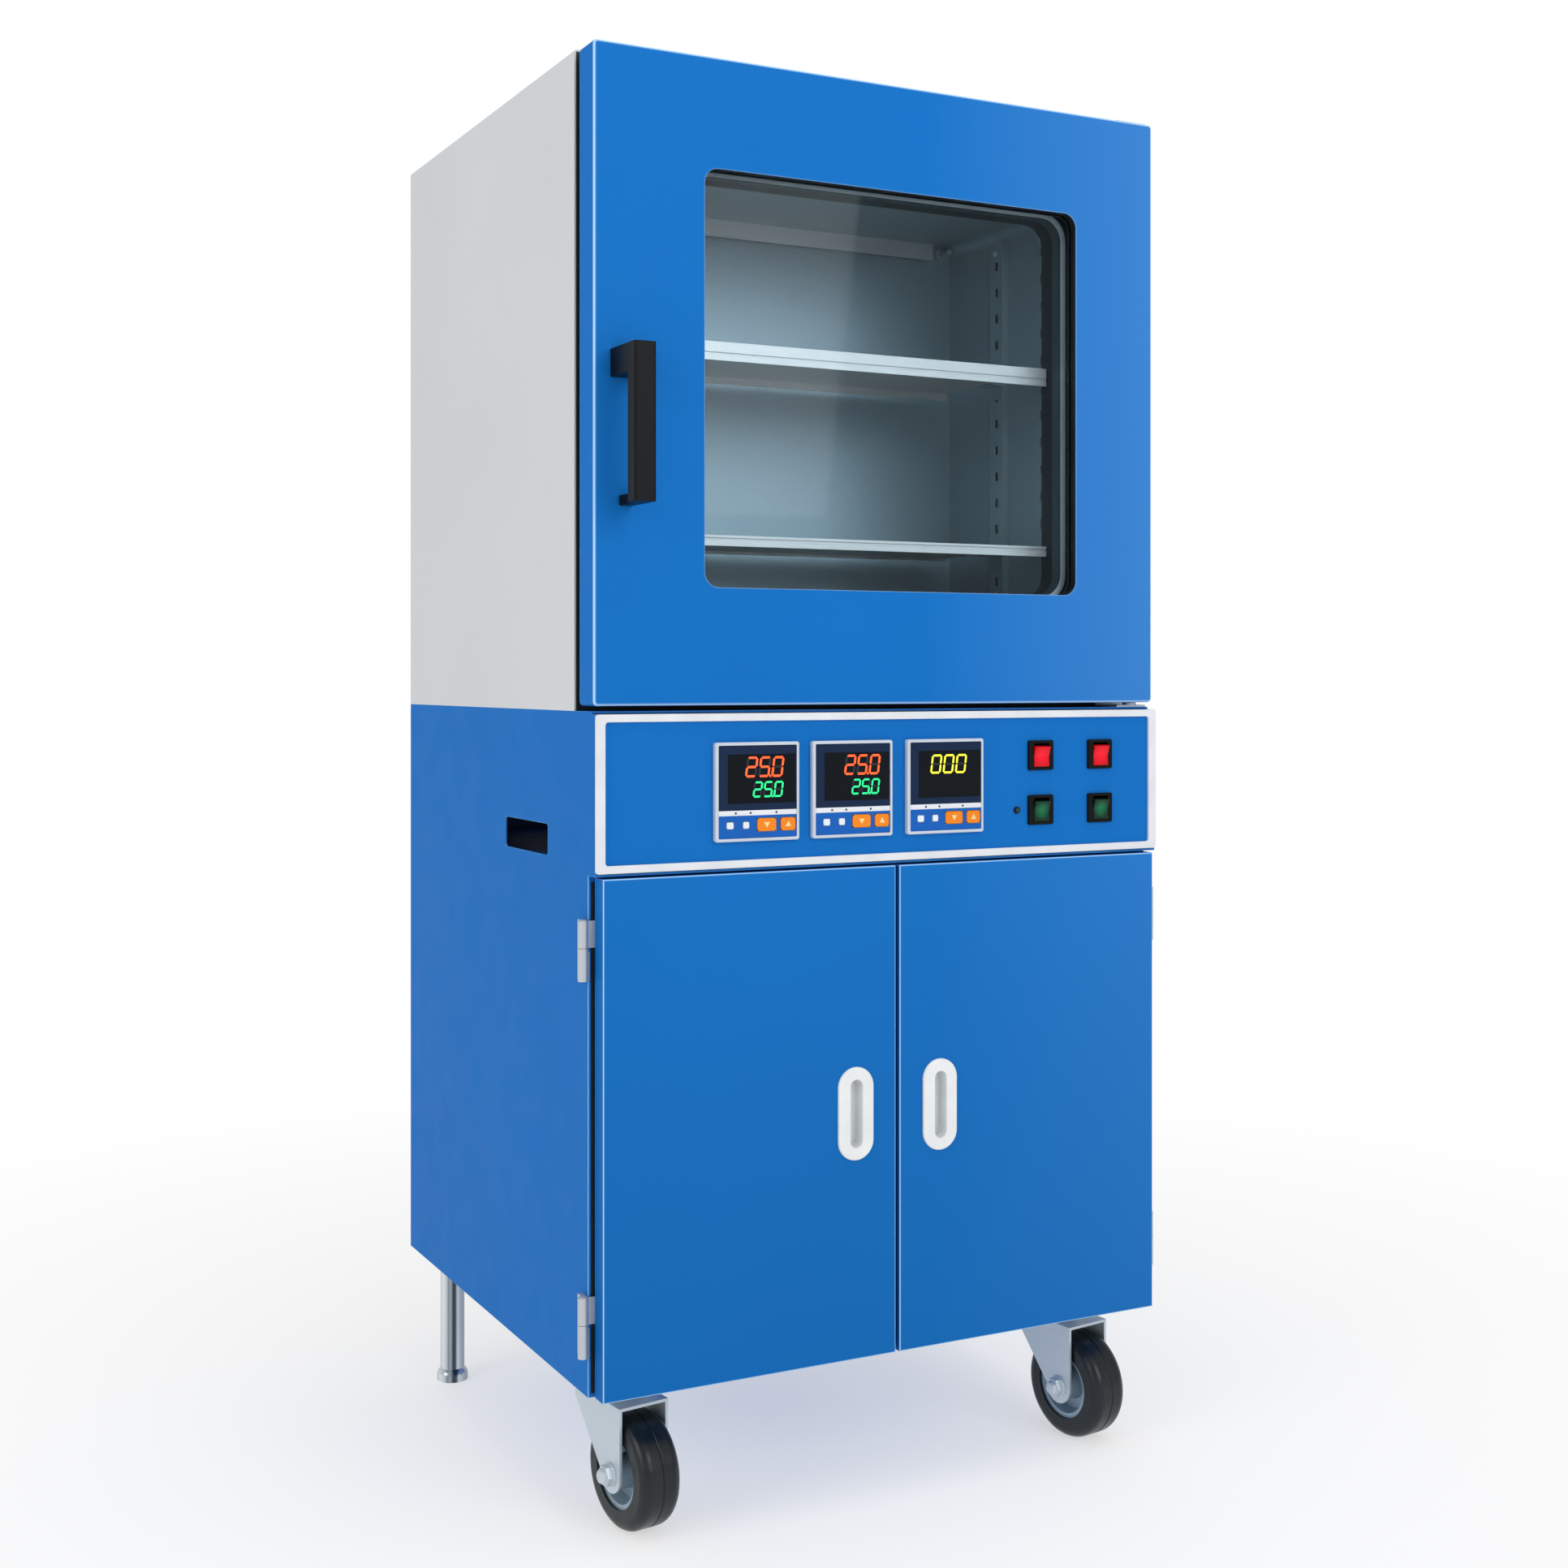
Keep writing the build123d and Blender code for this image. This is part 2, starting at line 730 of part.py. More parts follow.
# Heater plates on the chamber's four long walls
heater_depth = chamber_depth - 2 * heater_margin
heater_y = (chamber_front_y + chamber_back_y) / 2
with BuildPart() as heater_mats:
    for sign in (-1, 1):
        with Locations((
            window_shift + sign * (chamber_outer_width + heater_thick) / 2, heater_y, window_mid_z
        )):
            Box(heater_thick, heater_depth, chamber_height - 2 * heater_margin)
        with Locations((
            window_shift, heater_y, window_mid_z + sign * (chamber_outer_height + heater_thick) / 2
        )):
            Box(chamber_width - 2 * heater_margin, heater_depth, heater_thick)
save(heater_mats.part, "heater_mats")

# Insulation blanket, pocketed for the chamber, its flange and the heaters
with BuildPart() as insulation:
    with BuildSketch(front(chamber_front_y)):
        with Locations((0, (cabinet_top_z + total_height - sheet) / 2)):
            Rectangle(2 * inner_half, total_height - sheet - cabinet_top_z)
    extrude(amount=-(insulation_y - chamber_front_y))
    with BuildSketch(front(chamber_front_y)):
        with Locations((window_shift, window_mid_z)):
            RectangleRounded(
                chamber_outer_width + 2 * chamber_flange_width,
                chamber_outer_height + 2 * chamber_flange_width,
                chamber_r + chamber_wall,
            )
    extrude(amount=-chamber_flange, mode=Mode.SUBTRACT)
    with BuildSketch(front(chamber_front_y)):
        with Locations((window_shift, window_mid_z)):
            RectangleRounded(
                chamber_outer_width + 2 * heater_thick,
                chamber_outer_height + 2 * heater_thick,
                chamber_r + chamber_wall,
            )
    extrude(amount=-(chamber_back_y + chamber_wall - chamber_front_y), mode=Mode.SUBTRACT)
    with BuildSketch(front(chamber_back_y)):
        with Locations((vacuum_x, vacuum_z)):
            Circle(vacuum_nozzle_d / 2)
        with Locations((vent_x, vacuum_z)):
            Circle(vent_nozzle_d / 2)
        with Locations((
            window_shift + chamber_width / 2 - probe_inset,
            chamber_top_z - probe_drop,
        )):
            Circle(probe_d / 2)
    extrude(amount=-(insulation_y - chamber_back_y), mode=Mode.SUBTRACT)
save(insulation.part, "insulation")

# Slotted uprights on the side walls, with a clip under each shelf
shelf_tops = [window_mid_z + window_height / 2 - drop for drop in shelf_drops]
upright_height = chamber_height - 2 * upright_margin
upright_ys = [casing_y + setback + upright_width / 2 for setback in upright_setbacks]
wall_half = chamber_width / 2
with BuildPart() as shelf_supports:
    for sign in (-1, 1):
        for y in upright_ys:
            with Locations((
                window_shift + sign * (wall_half - upright_depth / 2), y, window_mid_z
            )):
                Box(upright_depth, upright_width, upright_height)
    for y in upright_ys:
        with BuildSketch(side(window_shift - wall_half)):
            with Locations((y, window_mid_z)):
                with GridLocations(0, slot_pitch, 1, int(upright_height / slot_pitch)):
                    Rectangle(slot_width, slot_height)
        extrude(amount=chamber_width, mode=Mode.SUBTRACT)
    for top in shelf_tops:
        for sign in (-1, 1):
            for y in upright_ys:
                face_x = window_shift + sign * (wall_half - upright_depth)
                ledge_z = top - shelf_thick
                with Locations((
                    face_x - sign * clip_thick / 2, y, ledge_z - clip_height / 2
                )):
                    Box(clip_thick, clip_length, clip_height)
                with Locations((
                    face_x - sign * clip_reach / 2, y, ledge_z - clip_thick / 2
                )):
                    Box(clip_reach, clip_length, clip_thick)
save(shelf_supports.part, "shelf_supports")

# Shelves: flat plates with a grooved front edge and a turned-down rear edge
shelf_width = mouth_width - 2 * shelf_margin
shelf_y = casing_y + shelf_setback
with BuildPart() as shelves:
    for top, edge in zip(shelf_tops, shelf_edges):
        groove_top = top - edge + shelf_lip + shelf_groove
        with BuildSketch(side(window_shift - shelf_width / 2)):
            with BuildLine():
                Polyline(
                    (shelf_y, top),
                    (shelf_y + shelf_depth, top),
                    (shelf_y + shelf_depth, top - edge / 2),
                    (shelf_y + shelf_depth - shelf_thick, top - edge / 2),
                    (shelf_y + shelf_depth - shelf_thick, top - shelf_thick),
                    (shelf_y + shelf_flange, top - shelf_thick),
                    (shelf_y + shelf_flange, top - edge),
                    (shelf_y, top - edge),
                    (shelf_y, groove_top - shelf_groove),
                    (shelf_y + shelf_groove_depth, groove_top - shelf_groove),
                    (shelf_y + shelf_groove_depth, groove_top),
                    (shelf_y, groove_top),
                    close=True,
                )
            make_face()
        extrude(amount=shelf_width)
save(shelves.part, "shelves")

# Baffle rail over the gas inlet, high on the rear wall
baffle_length = chamber_width - 2 * baffle_end_inset
with BuildPart() as gas_baffle:
    with BuildSketch(side(window_shift - baffle_length / 2)):
        with BuildLine():
            Polyline(
                (chamber_back_y, chamber_top_z),
                (chamber_back_y - baffle_depth, chamber_top_z),
                (chamber_back_y - baffle_depth, chamber_top_z - baffle_height),
                (chamber_back_y - baffle_depth + sheet, chamber_top_z - baffle_height),
                (chamber_back_y - baffle_depth + sheet, chamber_top_z - sheet),
                (chamber_back_y, chamber_top_z - sheet),
                close=True,
            )
        make_face()
    extrude(amount=baffle_length)
    with BuildSketch(side(window_shift + baffle_length / 2)):
        with Locations((chamber_back_y - baffle_depth / 2, chamber_top_z - baffle_height / 2)):
            Rectangle(baffle_depth, baffle_height)
    extrude(amount=sheet)
save(gas_baffle.part, "gas_baffle")

# Temperature probe through the rear wall
with BuildPart() as temperature_probe:
    probe_point = (
        window_shift + chamber_width / 2 - probe_inset,
        chamber_top_z - probe_drop,
    )
    with BuildSketch(front(chamber_back_y)):
        with Locations(probe_point):
            Circle(probe_head_d / 2)
    extrude(amount=probe_d / 2)
    with BuildSketch(front(chamber_back_y - probe_d / 2)):
        with Locations(probe_point):
            Circle(probe_d / 2)
    extrude(amount=probe_length / 2)
    fillet(temperature_probe.faces().sort_by(Axis.Y)[0].edges(), probe_d / 3)
    with BuildSketch(front(chamber_back_y)):
        with Locations(probe_point):
            Circle(probe_d / 2)
    extrude(amount=-(insulation_back + chamber_wall + probe_length / 2))
save(temperature_probe.part, "temperature_probe")


def gas_line(name, x, outer_d, bore_d, reach, flange_d):
    """Build a straight line from the chamber to a barbed nozzle behind the rear cover."""
    length = rear_y + reach - chamber_back_y
    pitch = (reach - nozzle_flange_thick) / 4
    radius = outer_d / 2
    with BuildPart() as line:
        with BuildSketch(Plane(origin=(x, chamber_back_y, vacuum_z), x_dir=(1, 0, 0), z_dir=(0, 0, 1))):
            with BuildLine():
                outline = [(0, 0), (radius, 0), (radius, length - reach)]
                outline += [
                    (flange_d / 2, length - reach),
                    (flange_d / 2, length - reach + nozzle_flange_thick),
                    (radius, length - reach + nozzle_flange_thick),
                ]
                outline.append((radius, length - 2 * pitch))
                outline.append((radius - nozzle_barb, length - 2 * pitch))
                for step in range(2):
                    crest = length - (1.7 - step) * pitch
                    outline += [(radius - nozzle_barb, crest), (radius, crest)]
                    outline.append((radius - nozzle_barb, crest + 0.7 * pitch))
                outline.append((0, length))
                Polyline(*outline, close=True)
            make_face()
        revolve(axis=Axis((x, chamber_back_y, vacuum_z), (0, 1, 0)))
        valve_y = (insulation_y + rear_inner_y) / 2
        with Locations((x, valve_y, vacuum_z + valve_height / 6)):
            Box(valve_width, valve_length, valve_height)
        with BuildSketch(front(chamber_back_y)):
            with Locations((x, vacuum_z)):
                Circle(bore_d / 2)
        extrude(amount=-length, mode=Mode.SUBTRACT)
    save(line.part, name)


gas_line("vacuum_line", vacuum_x, vacuum_nozzle_d, vacuum_bore, port_reach, nozzle_flange_d)
gas_line("vent_line", vent_x, vent_nozzle_d, vent_bore, vent_reach, nozzle_flange_d * 0.6)

# Chamber door: front pan with the window's opening
window_point = (window_shift, window_mid_z)
with BuildPart() as door_shell:
    with BuildSketch(front(door_y)):
        with Locations((0, main_door_mid_z)):
            RectangleRounded(body_width, main_door_height, main_door_r)
    extrude(amount=-main_door_depth)
    fillet(door_shell.faces().sort_by(Axis.Y)[0].edges(), bend_r)
    with BuildSketch(front(door_y + sheet)):
        with Locations((0, main_door_mid_z)):
            RectangleRounded(
                body_width - 2 * sheet, main_door_height - 2 * sheet, main_door_r - sheet
            )
    extrude(amount=-main_door_depth, mode=Mode.SUBTRACT)
    with BuildSketch(front(door_y)):
        with Locations(window_point):
            RectangleRounded(window_width, window_height, window_r)
    extrude(amount=-sheet, mode=Mode.SUBTRACT)
    pin_x = half_width - main_hinge_inset
    pin_y = door_y + main_hinge_depth
    with BuildSketch(Plane.XY.offset(main_door_low_z)):
        with Locations((pin_x, pin_y)):
            Circle(main_pin_d / 2 + 1)
    extrude(amount=main_door_height, mode=Mode.SUBTRACT)
save(door_shell.part, "door_shell")

# Rubber lining of the window's opening, behind the front skin
with BuildPart() as glazing_gasket:
    with BuildSketch(front(door_y + sheet)):
        with Locations(window_point):
            RectangleRounded(
                window_width + 2 * gasket_width, window_height + 2 * gasket_width, window_r
            )
            RectangleRounded(window_width, window_height, window_r, mode=Mode.SUBTRACT)
    extrude(amount=-gasket_depth)
save(glazing_gasket.part, "glazing_gasket")

pane_y = door_y + sheet + gasket_depth
with BuildPart() as outer_pane:
    with BuildSketch(front(pane_y)):
        with Locations(window_point):
            RectangleRounded(
                window_width + 2 * pane_edge, window_height + 2 * pane_edge, window_r
            )
    extrude(amount=-pane_thick)
save(outer_pane.part, "outer_pane")

# Inner frame: back plate, glass channel with its lip, and the hinge blocks
glass_width = window_width + 2 * glass_edge
glass_height = window_height + 2 * glass_edge
frame_back_y = door_y + main_door_depth
frame_width = body_width - 2 * sheet - 2 * frame_play
frame_height = main_door_height - 2 * sheet - 2 * frame_play
with BuildPart() as door_frame:
    with BuildSketch(front(frame_back_y - sheet)):
        with Locations((0, main_door_mid_z)):
            RectangleRounded(frame_width, frame_height, main_door_r - sheet - frame_play)
    extrude(amount=-sheet)
    with BuildSketch(front(glass_y - glass_spacer)):
        with Locations(window_point):
            RectangleRounded(
                glass_width + 2 * glass_wall, glass_height + 2 * glass_wall, glass_r + glass_wall
            )
    extrude(amount=-(frame_back_y - glass_y + glass_spacer))
    for z, low in ((main_door_low_z, True), (main_door_top_z, False)):
        shift = sheet + frame_play + hinge_block_height / 2
        with Locations((pin_x - 2, pin_y + 4, z + shift if low else z - shift)):
            Box(hinge_block, hinge_block, hinge_block_height)
    with BuildSketch(front(glass_y - glass_spacer)):
        with Locations(window_point):
            RectangleRounded(window_width, window_height, window_r)
    extrude(amount=-glass_spacer, mode=Mode.SUBTRACT)
    with BuildSketch(front(glass_y)):
        with Locations(window_point):
            RectangleRounded(glass_width, glass_height, glass_r)
    extrude(amount=-glass_thick, mode=Mode.SUBTRACT)
    with BuildSketch(front(glass_back_y)):
        with Locations(window_point):
            RectangleRounded(
                glass_width - 2 * glass_lip, glass_height - 2 * glass_lip, glass_r - glass_lip / 2
            )
    extrude(amount=-main_door_depth, mode=Mode.SUBTRACT)
    with BuildSketch(Plane.XY.offset(main_door_low_z)):
        with Locations((pin_x, pin_y)):
            Circle(main_pin_d / 2 + hinge_play)
    extrude(amount=main_door_height, mode=Mode.SUBTRACT)
save(door_frame.part, "door_frame")

with BuildPart() as door_glass:
    with BuildSketch(front(glass_y)):
        with Locations(window_point):
            RectangleRounded(glass_width, glass_height, glass_r)
    extrude(amount=-glass_thick)
save(door_glass.part, "door_glass")

# Pull handle: square bar with a deep upper arm and a slim lower foot
handle_low_z = handle_top_z - handle_length
handle_back_y = door_y - handle_reach + handle_depth
with BuildPart() as door_handle:
    with BuildSketch(side(handle_x - handle_width / 2)):
        with BuildLine():
            Polyline(
                (door_y - handle_reach, handle_low_z),
                (handle_back_y, handle_low_z),
                (handle_back_y, handle_top_z - handle_arm),
                (door_y, handle_top_z - handle_arm),
                (door_y, handle_top_z),
                (door_y - handle_reach, handle_top_z),
                close=True,
            )
        make_face()
    extrude(amount=handle_width)
    with BuildSketch(side(handle_x - handle_width / 2 + handle_foot_inset)):
        with Locations((door_y - handle_reach / 2, handle_low_z + handle_foot / 2)):
            Rectangle(handle_reach, handle_foot)
    extrude(amount=handle_width - handle_foot_inset)
    fillet(door_handle.edges().filter_by(Axis.Z).group_by(Axis.Y)[0], handle_r)
save(door_handle.part, "door_handle")

# Pivot brackets above and below the chamber door, with their pins
with BuildPart() as main_hinge_brackets:
    plate_front_y = pin_y - bracket_washer_d / 2
    for up, seat_z, door_z in ((1, cabinet_top_z, main_door_low_z), (-1, total_height, main_door_top_z)):
        face_z = seat_z + up * bracket_thick
        washer = abs(door_z - face_z) - washer_play
        reach = bracket_thick / 2 + abs(door_z - face_z) + main_pin_length
        with Locations((
            inner_half - bracket_width / 2,
            (plate_front_y + casing_y) / 2,
            seat_z + up * bracket_thick / 2,
        )):
            Box(bracket_width, casing_y - plate_front_y, bracket_thick)
        with Locations((
            inner_half - bracket_width / 2,
            casing_y - bracket_thick / 2,
            seat_z + up * bracket_leg / 2,
        )):
            Box(bracket_width, bracket_thick, bracket_leg)
        with Locations((pin_x, pin_y, face_z + up * washer / 2)):
            Cylinder(bracket_washer_d / 2, washer)
        with Locations((pin_x, pin_y, seat_z + up * (bracket_thick + reach) / 2)):
            Cylinder(main_pin_d / 2, reach)
save(main_hinge_brackets.part, "main_hinge_brackets")


def cabinet_door(name, sign):
    """Build one cabinet door as a pan with returned edges and a hole for its pull."""
    width = half_width - cabinet_door_inset - cabinet_door_split / 2
    centre_x = sign * (cabinet_door_split / 2 + width / 2)
    mid_z = cabinet_low_z + cabinet_door_height / 2
    with BuildPart() as door:
        with BuildSketch(front(cabinet_door_y)):
            with Locations((centre_x, mid_z)):
                Rectangle(width, cabinet_door_height)
        extrude(amount=-cabinet_door_thick)
        fillet(door.faces().sort_by(Axis.Y)[0].edges(), door_edge_r)
        with BuildSketch(front(cabinet_door_y + sheet)):
            with Locations((centre_x, mid_z)):
                Rectangle(width - 2 * sheet, cabinet_door_height - 2 * sheet)
        extrude(amount=-cabinet_door_thick, mode=Mode.SUBTRACT)
        with BuildSketch(front(cabinet_door_y + cabinet_door_thick - sheet)):
            with Locations((centre_x, mid_z)):
                Rectangle(width, cabinet_door_height)
                Rectangle(
                    width - 2 * door_return,
                    cabinet_door_height - 2 * door_return,
                    mode=Mode.SUBTRACT,
                )
        extrude(amount=-sheet)
        with BuildSketch(front(cabinet_door_y)):
            with Locations((sign * pull_x, pull_z)):
                SlotOverall(
                    pull_height - 2 * pull_body_inset + 2 * pull_cut_play,
                    pull_width - 2 * pull_body_inset + 2 * pull_cut_play,
                    rotation=90,
                )
        extrude(amount=-sheet, mode=Mode.SUBTRACT)
    save(door.part, name)


def door_pull(name, sign):
    """Build one flush pull: oval flange, cup and finger slot."""
    with BuildPart() as pull:
        with BuildSketch(front(cabinet_door_y)):
            with Locations((sign * pull_x, pull_z)):
                SlotOverall(pull_height, pull_width, rotation=90)
        extrude(amount=pull_proud)
        fillet(pull.faces().sort_by(Axis.Y)[0].edges(), pull_proud * 0.7)
        with BuildSketch(front(cabinet_door_y)):
            with Locations((sign * pull_x, pull_z)):
                SlotOverall(
                    pull_height - 2 * pull_body_inset, pull_width - 2 * pull_body_inset, rotation=90
                )
        extrude(amount=-pull_depth)
        with BuildSketch(front(cabinet_door_y - pull_proud)):
            with Locations((sign * pull_x, pull_z)):
                SlotOverall(pull_slot_height, pull_slot_width, rotation=90)
        extrude(amount=-pull_slot_depth - pull_proud, mode=Mode.SUBTRACT)
    save(pull.part, name)


def hinge_knuckles(name, sign):
    """Build the door halves of one side's cabinet hinges: upper knuckle and thin leaf."""
    pivot_x = sign * (half_width + hinge_out)
    pivot_y = cabinet_door_y + hinge_back
    leaf_end_x = sign * (half_width - cabinet_door_inset - leaf_reach)
    length = cabinet_hinge_length * knuckle_share - knuckle_gap / 2
    with BuildPart() as knuckles:
        for mid_z in cabinet_hinge_zs:
            top_z = mid_z + cabinet_hinge_length / 2
            with BuildSketch(Plane.XY.offset(top_z - length)):
                with Locations((pivot_x, pivot_y)):
                    Circle(knuckle_d / 2)
                with Locations((
                    (pivot_x + leaf_end_x) / 2,
                    cabinet_door_y + cabinet_door_thick + leaf_thick / 2,
                )):
                    Rectangle(abs(pivot_x - leaf_end_x), leaf_thick)
            extrude(amount=length)
        with BuildSketch(Plane.XY.offset(cabinet_low_z)):
            with Locations((pivot_x, pivot_y)):
                Circle(knuckle_pin_d / 2 + hinge_play)
        extrude(amount=cabinet_door_height - knuckle_gap, mode=Mode.SUBTRACT)
    save(knuckles.part, name)


cabinet_door("left_door", -1)
cabinet_door("right_door", 1)
door_pull("left_pull", -1)
door_pull("right_pull", 1)
hinge_knuckles("left_hinge_knuckles", -1)
hinge_knuckles("right_hinge_knuckles", 1)

# Fixed halves of the cabinet hinges: lower knuckle, leaf on the side wall, and pin
with BuildPart() as cabinet_hinge_posts:
    post_y = cabinet_door_y + hinge_back
    post_length = cabinet_hinge_length * (1 - knuckle_share) - knuckle_gap / 2
    for sign in (-1, 1):
        post_x = sign * (half_width + hinge_out)
        for mid_z in cabinet_hinge_zs:
            low_z = mid_z - cabinet_hinge_length / 2
            with BuildSketch(Plane.XY.offset(low_z)):
                with Locations((post_x, post_y)):
                    Circle(knuckle_d / 2)
                with Locations((
                    sign * (half_width + knuckle_d / 4),
                    post_y + (cabinet_y - post_y + leaf_depth) / 2,
                )):
                    Rectangle(knuckle_d / 2, cabinet_y - post_y + leaf_depth)
            extrude(amount=post_length)
            leaf_y = post_y + knuckle_d / 2 + knuckle_gap
            with BuildSketch(Plane.XY.offset(low_z)):
                with Locations((
                    sign * (half_width + knuckle_d / 4), (leaf_y + cabinet_y + leaf_depth) / 2
                )):
                    Rectangle(knuckle_d / 2, cabinet_y + leaf_depth - leaf_y)
            extrude(amount=cabinet_hinge_length)
            with BuildSketch(Plane.XY.offset(low_z + post_length)):
                with Locations((post_x, post_y)):
                    Circle(knuckle_pin_d / 2)
            extrude(amount=cabinet_hinge_length * knuckle_share * 0.8)
save(cabinet_hinge_posts.part, "cabinet_hinge_posts")

# Caster plates with the upper race and king pin
swivel_y = door_y + caster_back
axle_y = swivel_y - caster_trail
axle_z = wheel_d / 2
plate_low_z = cabinet_low_z - caster_plate_thick
crown_top_z = cabinet_low_z - crown_drop
crown_low_z = crown_top_z - fork_thick
with BuildPart() as caster_plates:
    for x in (-caster_x, caster_x):
        with BuildSketch(Plane.XY.offset(plate_low_z)):
            with Locations((x, swivel_y)):
                RectangleRounded(caster_plate_width, caster_plate_length, 5)
                with GridLocations(
                    caster_plate_width - 2 * plate_hole_margin,
                    caster_plate_length - 2 * plate_hole_margin,
                    2,
                    2,
                ):
                    Circle(4.5, mode=Mode.SUBTRACT)
        extrude(amount=caster_plate_thick)
        with BuildSketch(Plane.XY.offset(crown_top_z + race_gap)):
            with Locations((x, swivel_y)):
                Circle(race_neck_d / 2)
        extrude(amount=plate_low_z - crown_top_z - race_gap)
        with BuildSketch(Plane.XY.offset(crown_top_z + race_neck)):
            with Locations((x, swivel_y)):
                Circle(race_d / 2)
        extrude(amount=plate_low_z - crown_top_z - race_neck)
        with BuildSketch(Plane.XY.offset(crown_low_z - race_gap)):
            with Locations((x, swivel_y)):
                Circle(king_pin_d / 2)
        extrude(amount=plate_low_z - crown_low_z + race_gap)
        with BuildSketch(Plane.XY.offset(crown_low_z - race_gap - 4)):
            with Locations((x, swivel_y)):
                Circle(king_head_d / 2)
        extrude(amount=4)
save(caster_plates.part, "caster_plates")


def swivelled(part, x):
    """Turn a caster piece about its king pin to the angle at which it rests."""
    return part.rotate(Axis((x, swivel_y, 0), (0, 0, 1)), caster_turn)


def caster_fork(name, x):
    """Build a fork with its crown, two tapered legs and the axle bolt as its own solid."""
    inner_half_width = tyre_width / 2 + wheel_play
    outer_half_width = inner_half_width + fork_thick
    front_y = axle_y - fork_lead
    back_y = front_y + fork_top_length
    with BuildPart() as fork:
        with BuildSketch(side(x - outer_half_width)):
            with BuildLine():
                Polyline(
                    (front_y, crown_top_z),
                    (back_y, crown_top_z),
                    (back_y, crown_top_z - fork_skirt),
                    (axle_y + fork_eye_r, axle_z),
                    (front_y, axle_z),
                    close=True,
                )
            make_face()
            with Locations((axle_y, axle_z)):
                Circle(fork_eye_r)
        extrude(amount=2 * outer_half_width)
        with BuildSketch(side(x - inner_half_width)):
            with Locations(((front_y + back_y) / 2, crown_low_z / 2)):
                Rectangle(3 * fork_top_length, crown_low_z)
        extrude(amount=2 * inner_half_width, mode=Mode.SUBTRACT)
        with BuildSketch(Plane.XY.offset(crown_low_z)):
            with Locations((x, swivel_y)):
                Circle(king_pin_d / 2 + hinge_play)
        extrude(amount=fork_thick, mode=Mode.SUBTRACT)
        with BuildSketch(side(x - outer_half_width)):
            with Locations((axle_y, axle_z)):
                Circle(axle_d / 2)
        extrude(amount=2 * outer_half_width, mode=Mode.SUBTRACT)
    with BuildPart() as bolt:
        with BuildSketch(side(x - outer_half_width)):
            with Locations((axle_y, axle_z)):
                Circle(axle_d / 2)
        extrude(amount=2 * outer_half_width)
        for start, amount in ((x - outer_half_width, -axle_head), (x + outer_half_width, axle_head)):
            with BuildSketch(side(start)):
                with Locations((axle_y, axle_z)):
                    RegularPolygon(axle_head_d / 2, 6)
            extrude(amount=amount)
    save(Compound(children=[swivelled(fork.part, x), swivelled(bolt.part, x)]), name)


def caster_hub(name, x):
    """Revolve a dished hub with a boss and a rim that seats the tyre."""
    rim_r = axle_z - tyre_height
    with BuildPart() as hub:
        with BuildSketch(Plane(origin=(x, axle_y, axle_z), x_dir=(1, 0, 0), z_dir=(0, -1, 0))):
            with BuildLine():
                Polyline(
                    (-tyre_width / 2, axle_d / 2 + hinge_play),
                    (-tyre_width / 2, hub_boss_d / 2),
                    (-hub_web / 2, hub_boss_d / 2 + 2),
                    (-hub_web / 2, rim_r - hub_rim - 3),
                    (-hub_width / 2, rim_r - hub_rim),
                    (-hub_width / 2, rim_r),
                    (hub_width / 2, rim_r),
                    (hub_width / 2, rim_r - hub_rim),
                    (hub_web / 2, rim_r - hub_rim - 3),
                    (hub_web / 2, hub_boss_d / 2 + 2),
                    (tyre_width / 2, hub_boss_d / 2),
                    (tyre_width / 2, axle_d / 2 + hinge_play),
                    close=True,
                )
            make_face()
        revolve(axis=Axis((x, axle_y, axle_z), (1, 0, 0)))
    save(swivelled(hub.part, x), name)


def caster_tyre(name, x):
    """Revolve a tyre with round shoulders and a parting line along its tread."""
    rim_r = axle_z - tyre_height
    half = tyre_width / 2
    with BuildPart() as tyre:
        with BuildSketch(Plane(origin=(x, axle_y, axle_z), x_dir=(1, 0, 0), z_dir=(0, -1, 0))):
            with BuildLine():
                shoulder_low = axle_z - tyre_shoulder_r
                bite = tyre_shoulder_r * (1 - sin(radians(45)))
                Line((-half, rim_r), (-half, shoulder_low))
                ThreePointArc(
                    (-half, shoulder_low),
                    (-half + bite, axle_z - bite),
                    (-half + tyre_shoulder_r, axle_z),
                )
                Line((-half + tyre_shoulder_r, axle_z), (-tyre_groove, axle_z))
                Line((-tyre_groove, axle_z), (0, axle_z - tyre_groove))
                Line((0, axle_z - tyre_groove), (tyre_groove, axle_z))
                Line((tyre_groove, axle_z), (half - tyre_shoulder_r, axle_z))
                ThreePointArc(
                    (half - tyre_shoulder_r, axle_z),
                    (half - bite, axle_z - bite),
                    (half, shoulder_low),
                )
                Line((half, shoulder_low), (half, rim_r))
                Line((half, rim_r), (-half, rim_r))
            make_face()
        revolve(axis=Axis((x, axle_y, axle_z), (1, 0, 0)))
    save(swivelled(tyre.part, x), name)


for side_name, x in (("left", -caster_x), ("right", caster_x)):
    caster_fork(f"{side_name}_fork", x)
    caster_hub(f"{side_name}_hub", x)
    caster_tyre(f"{side_name}_tyre", x)

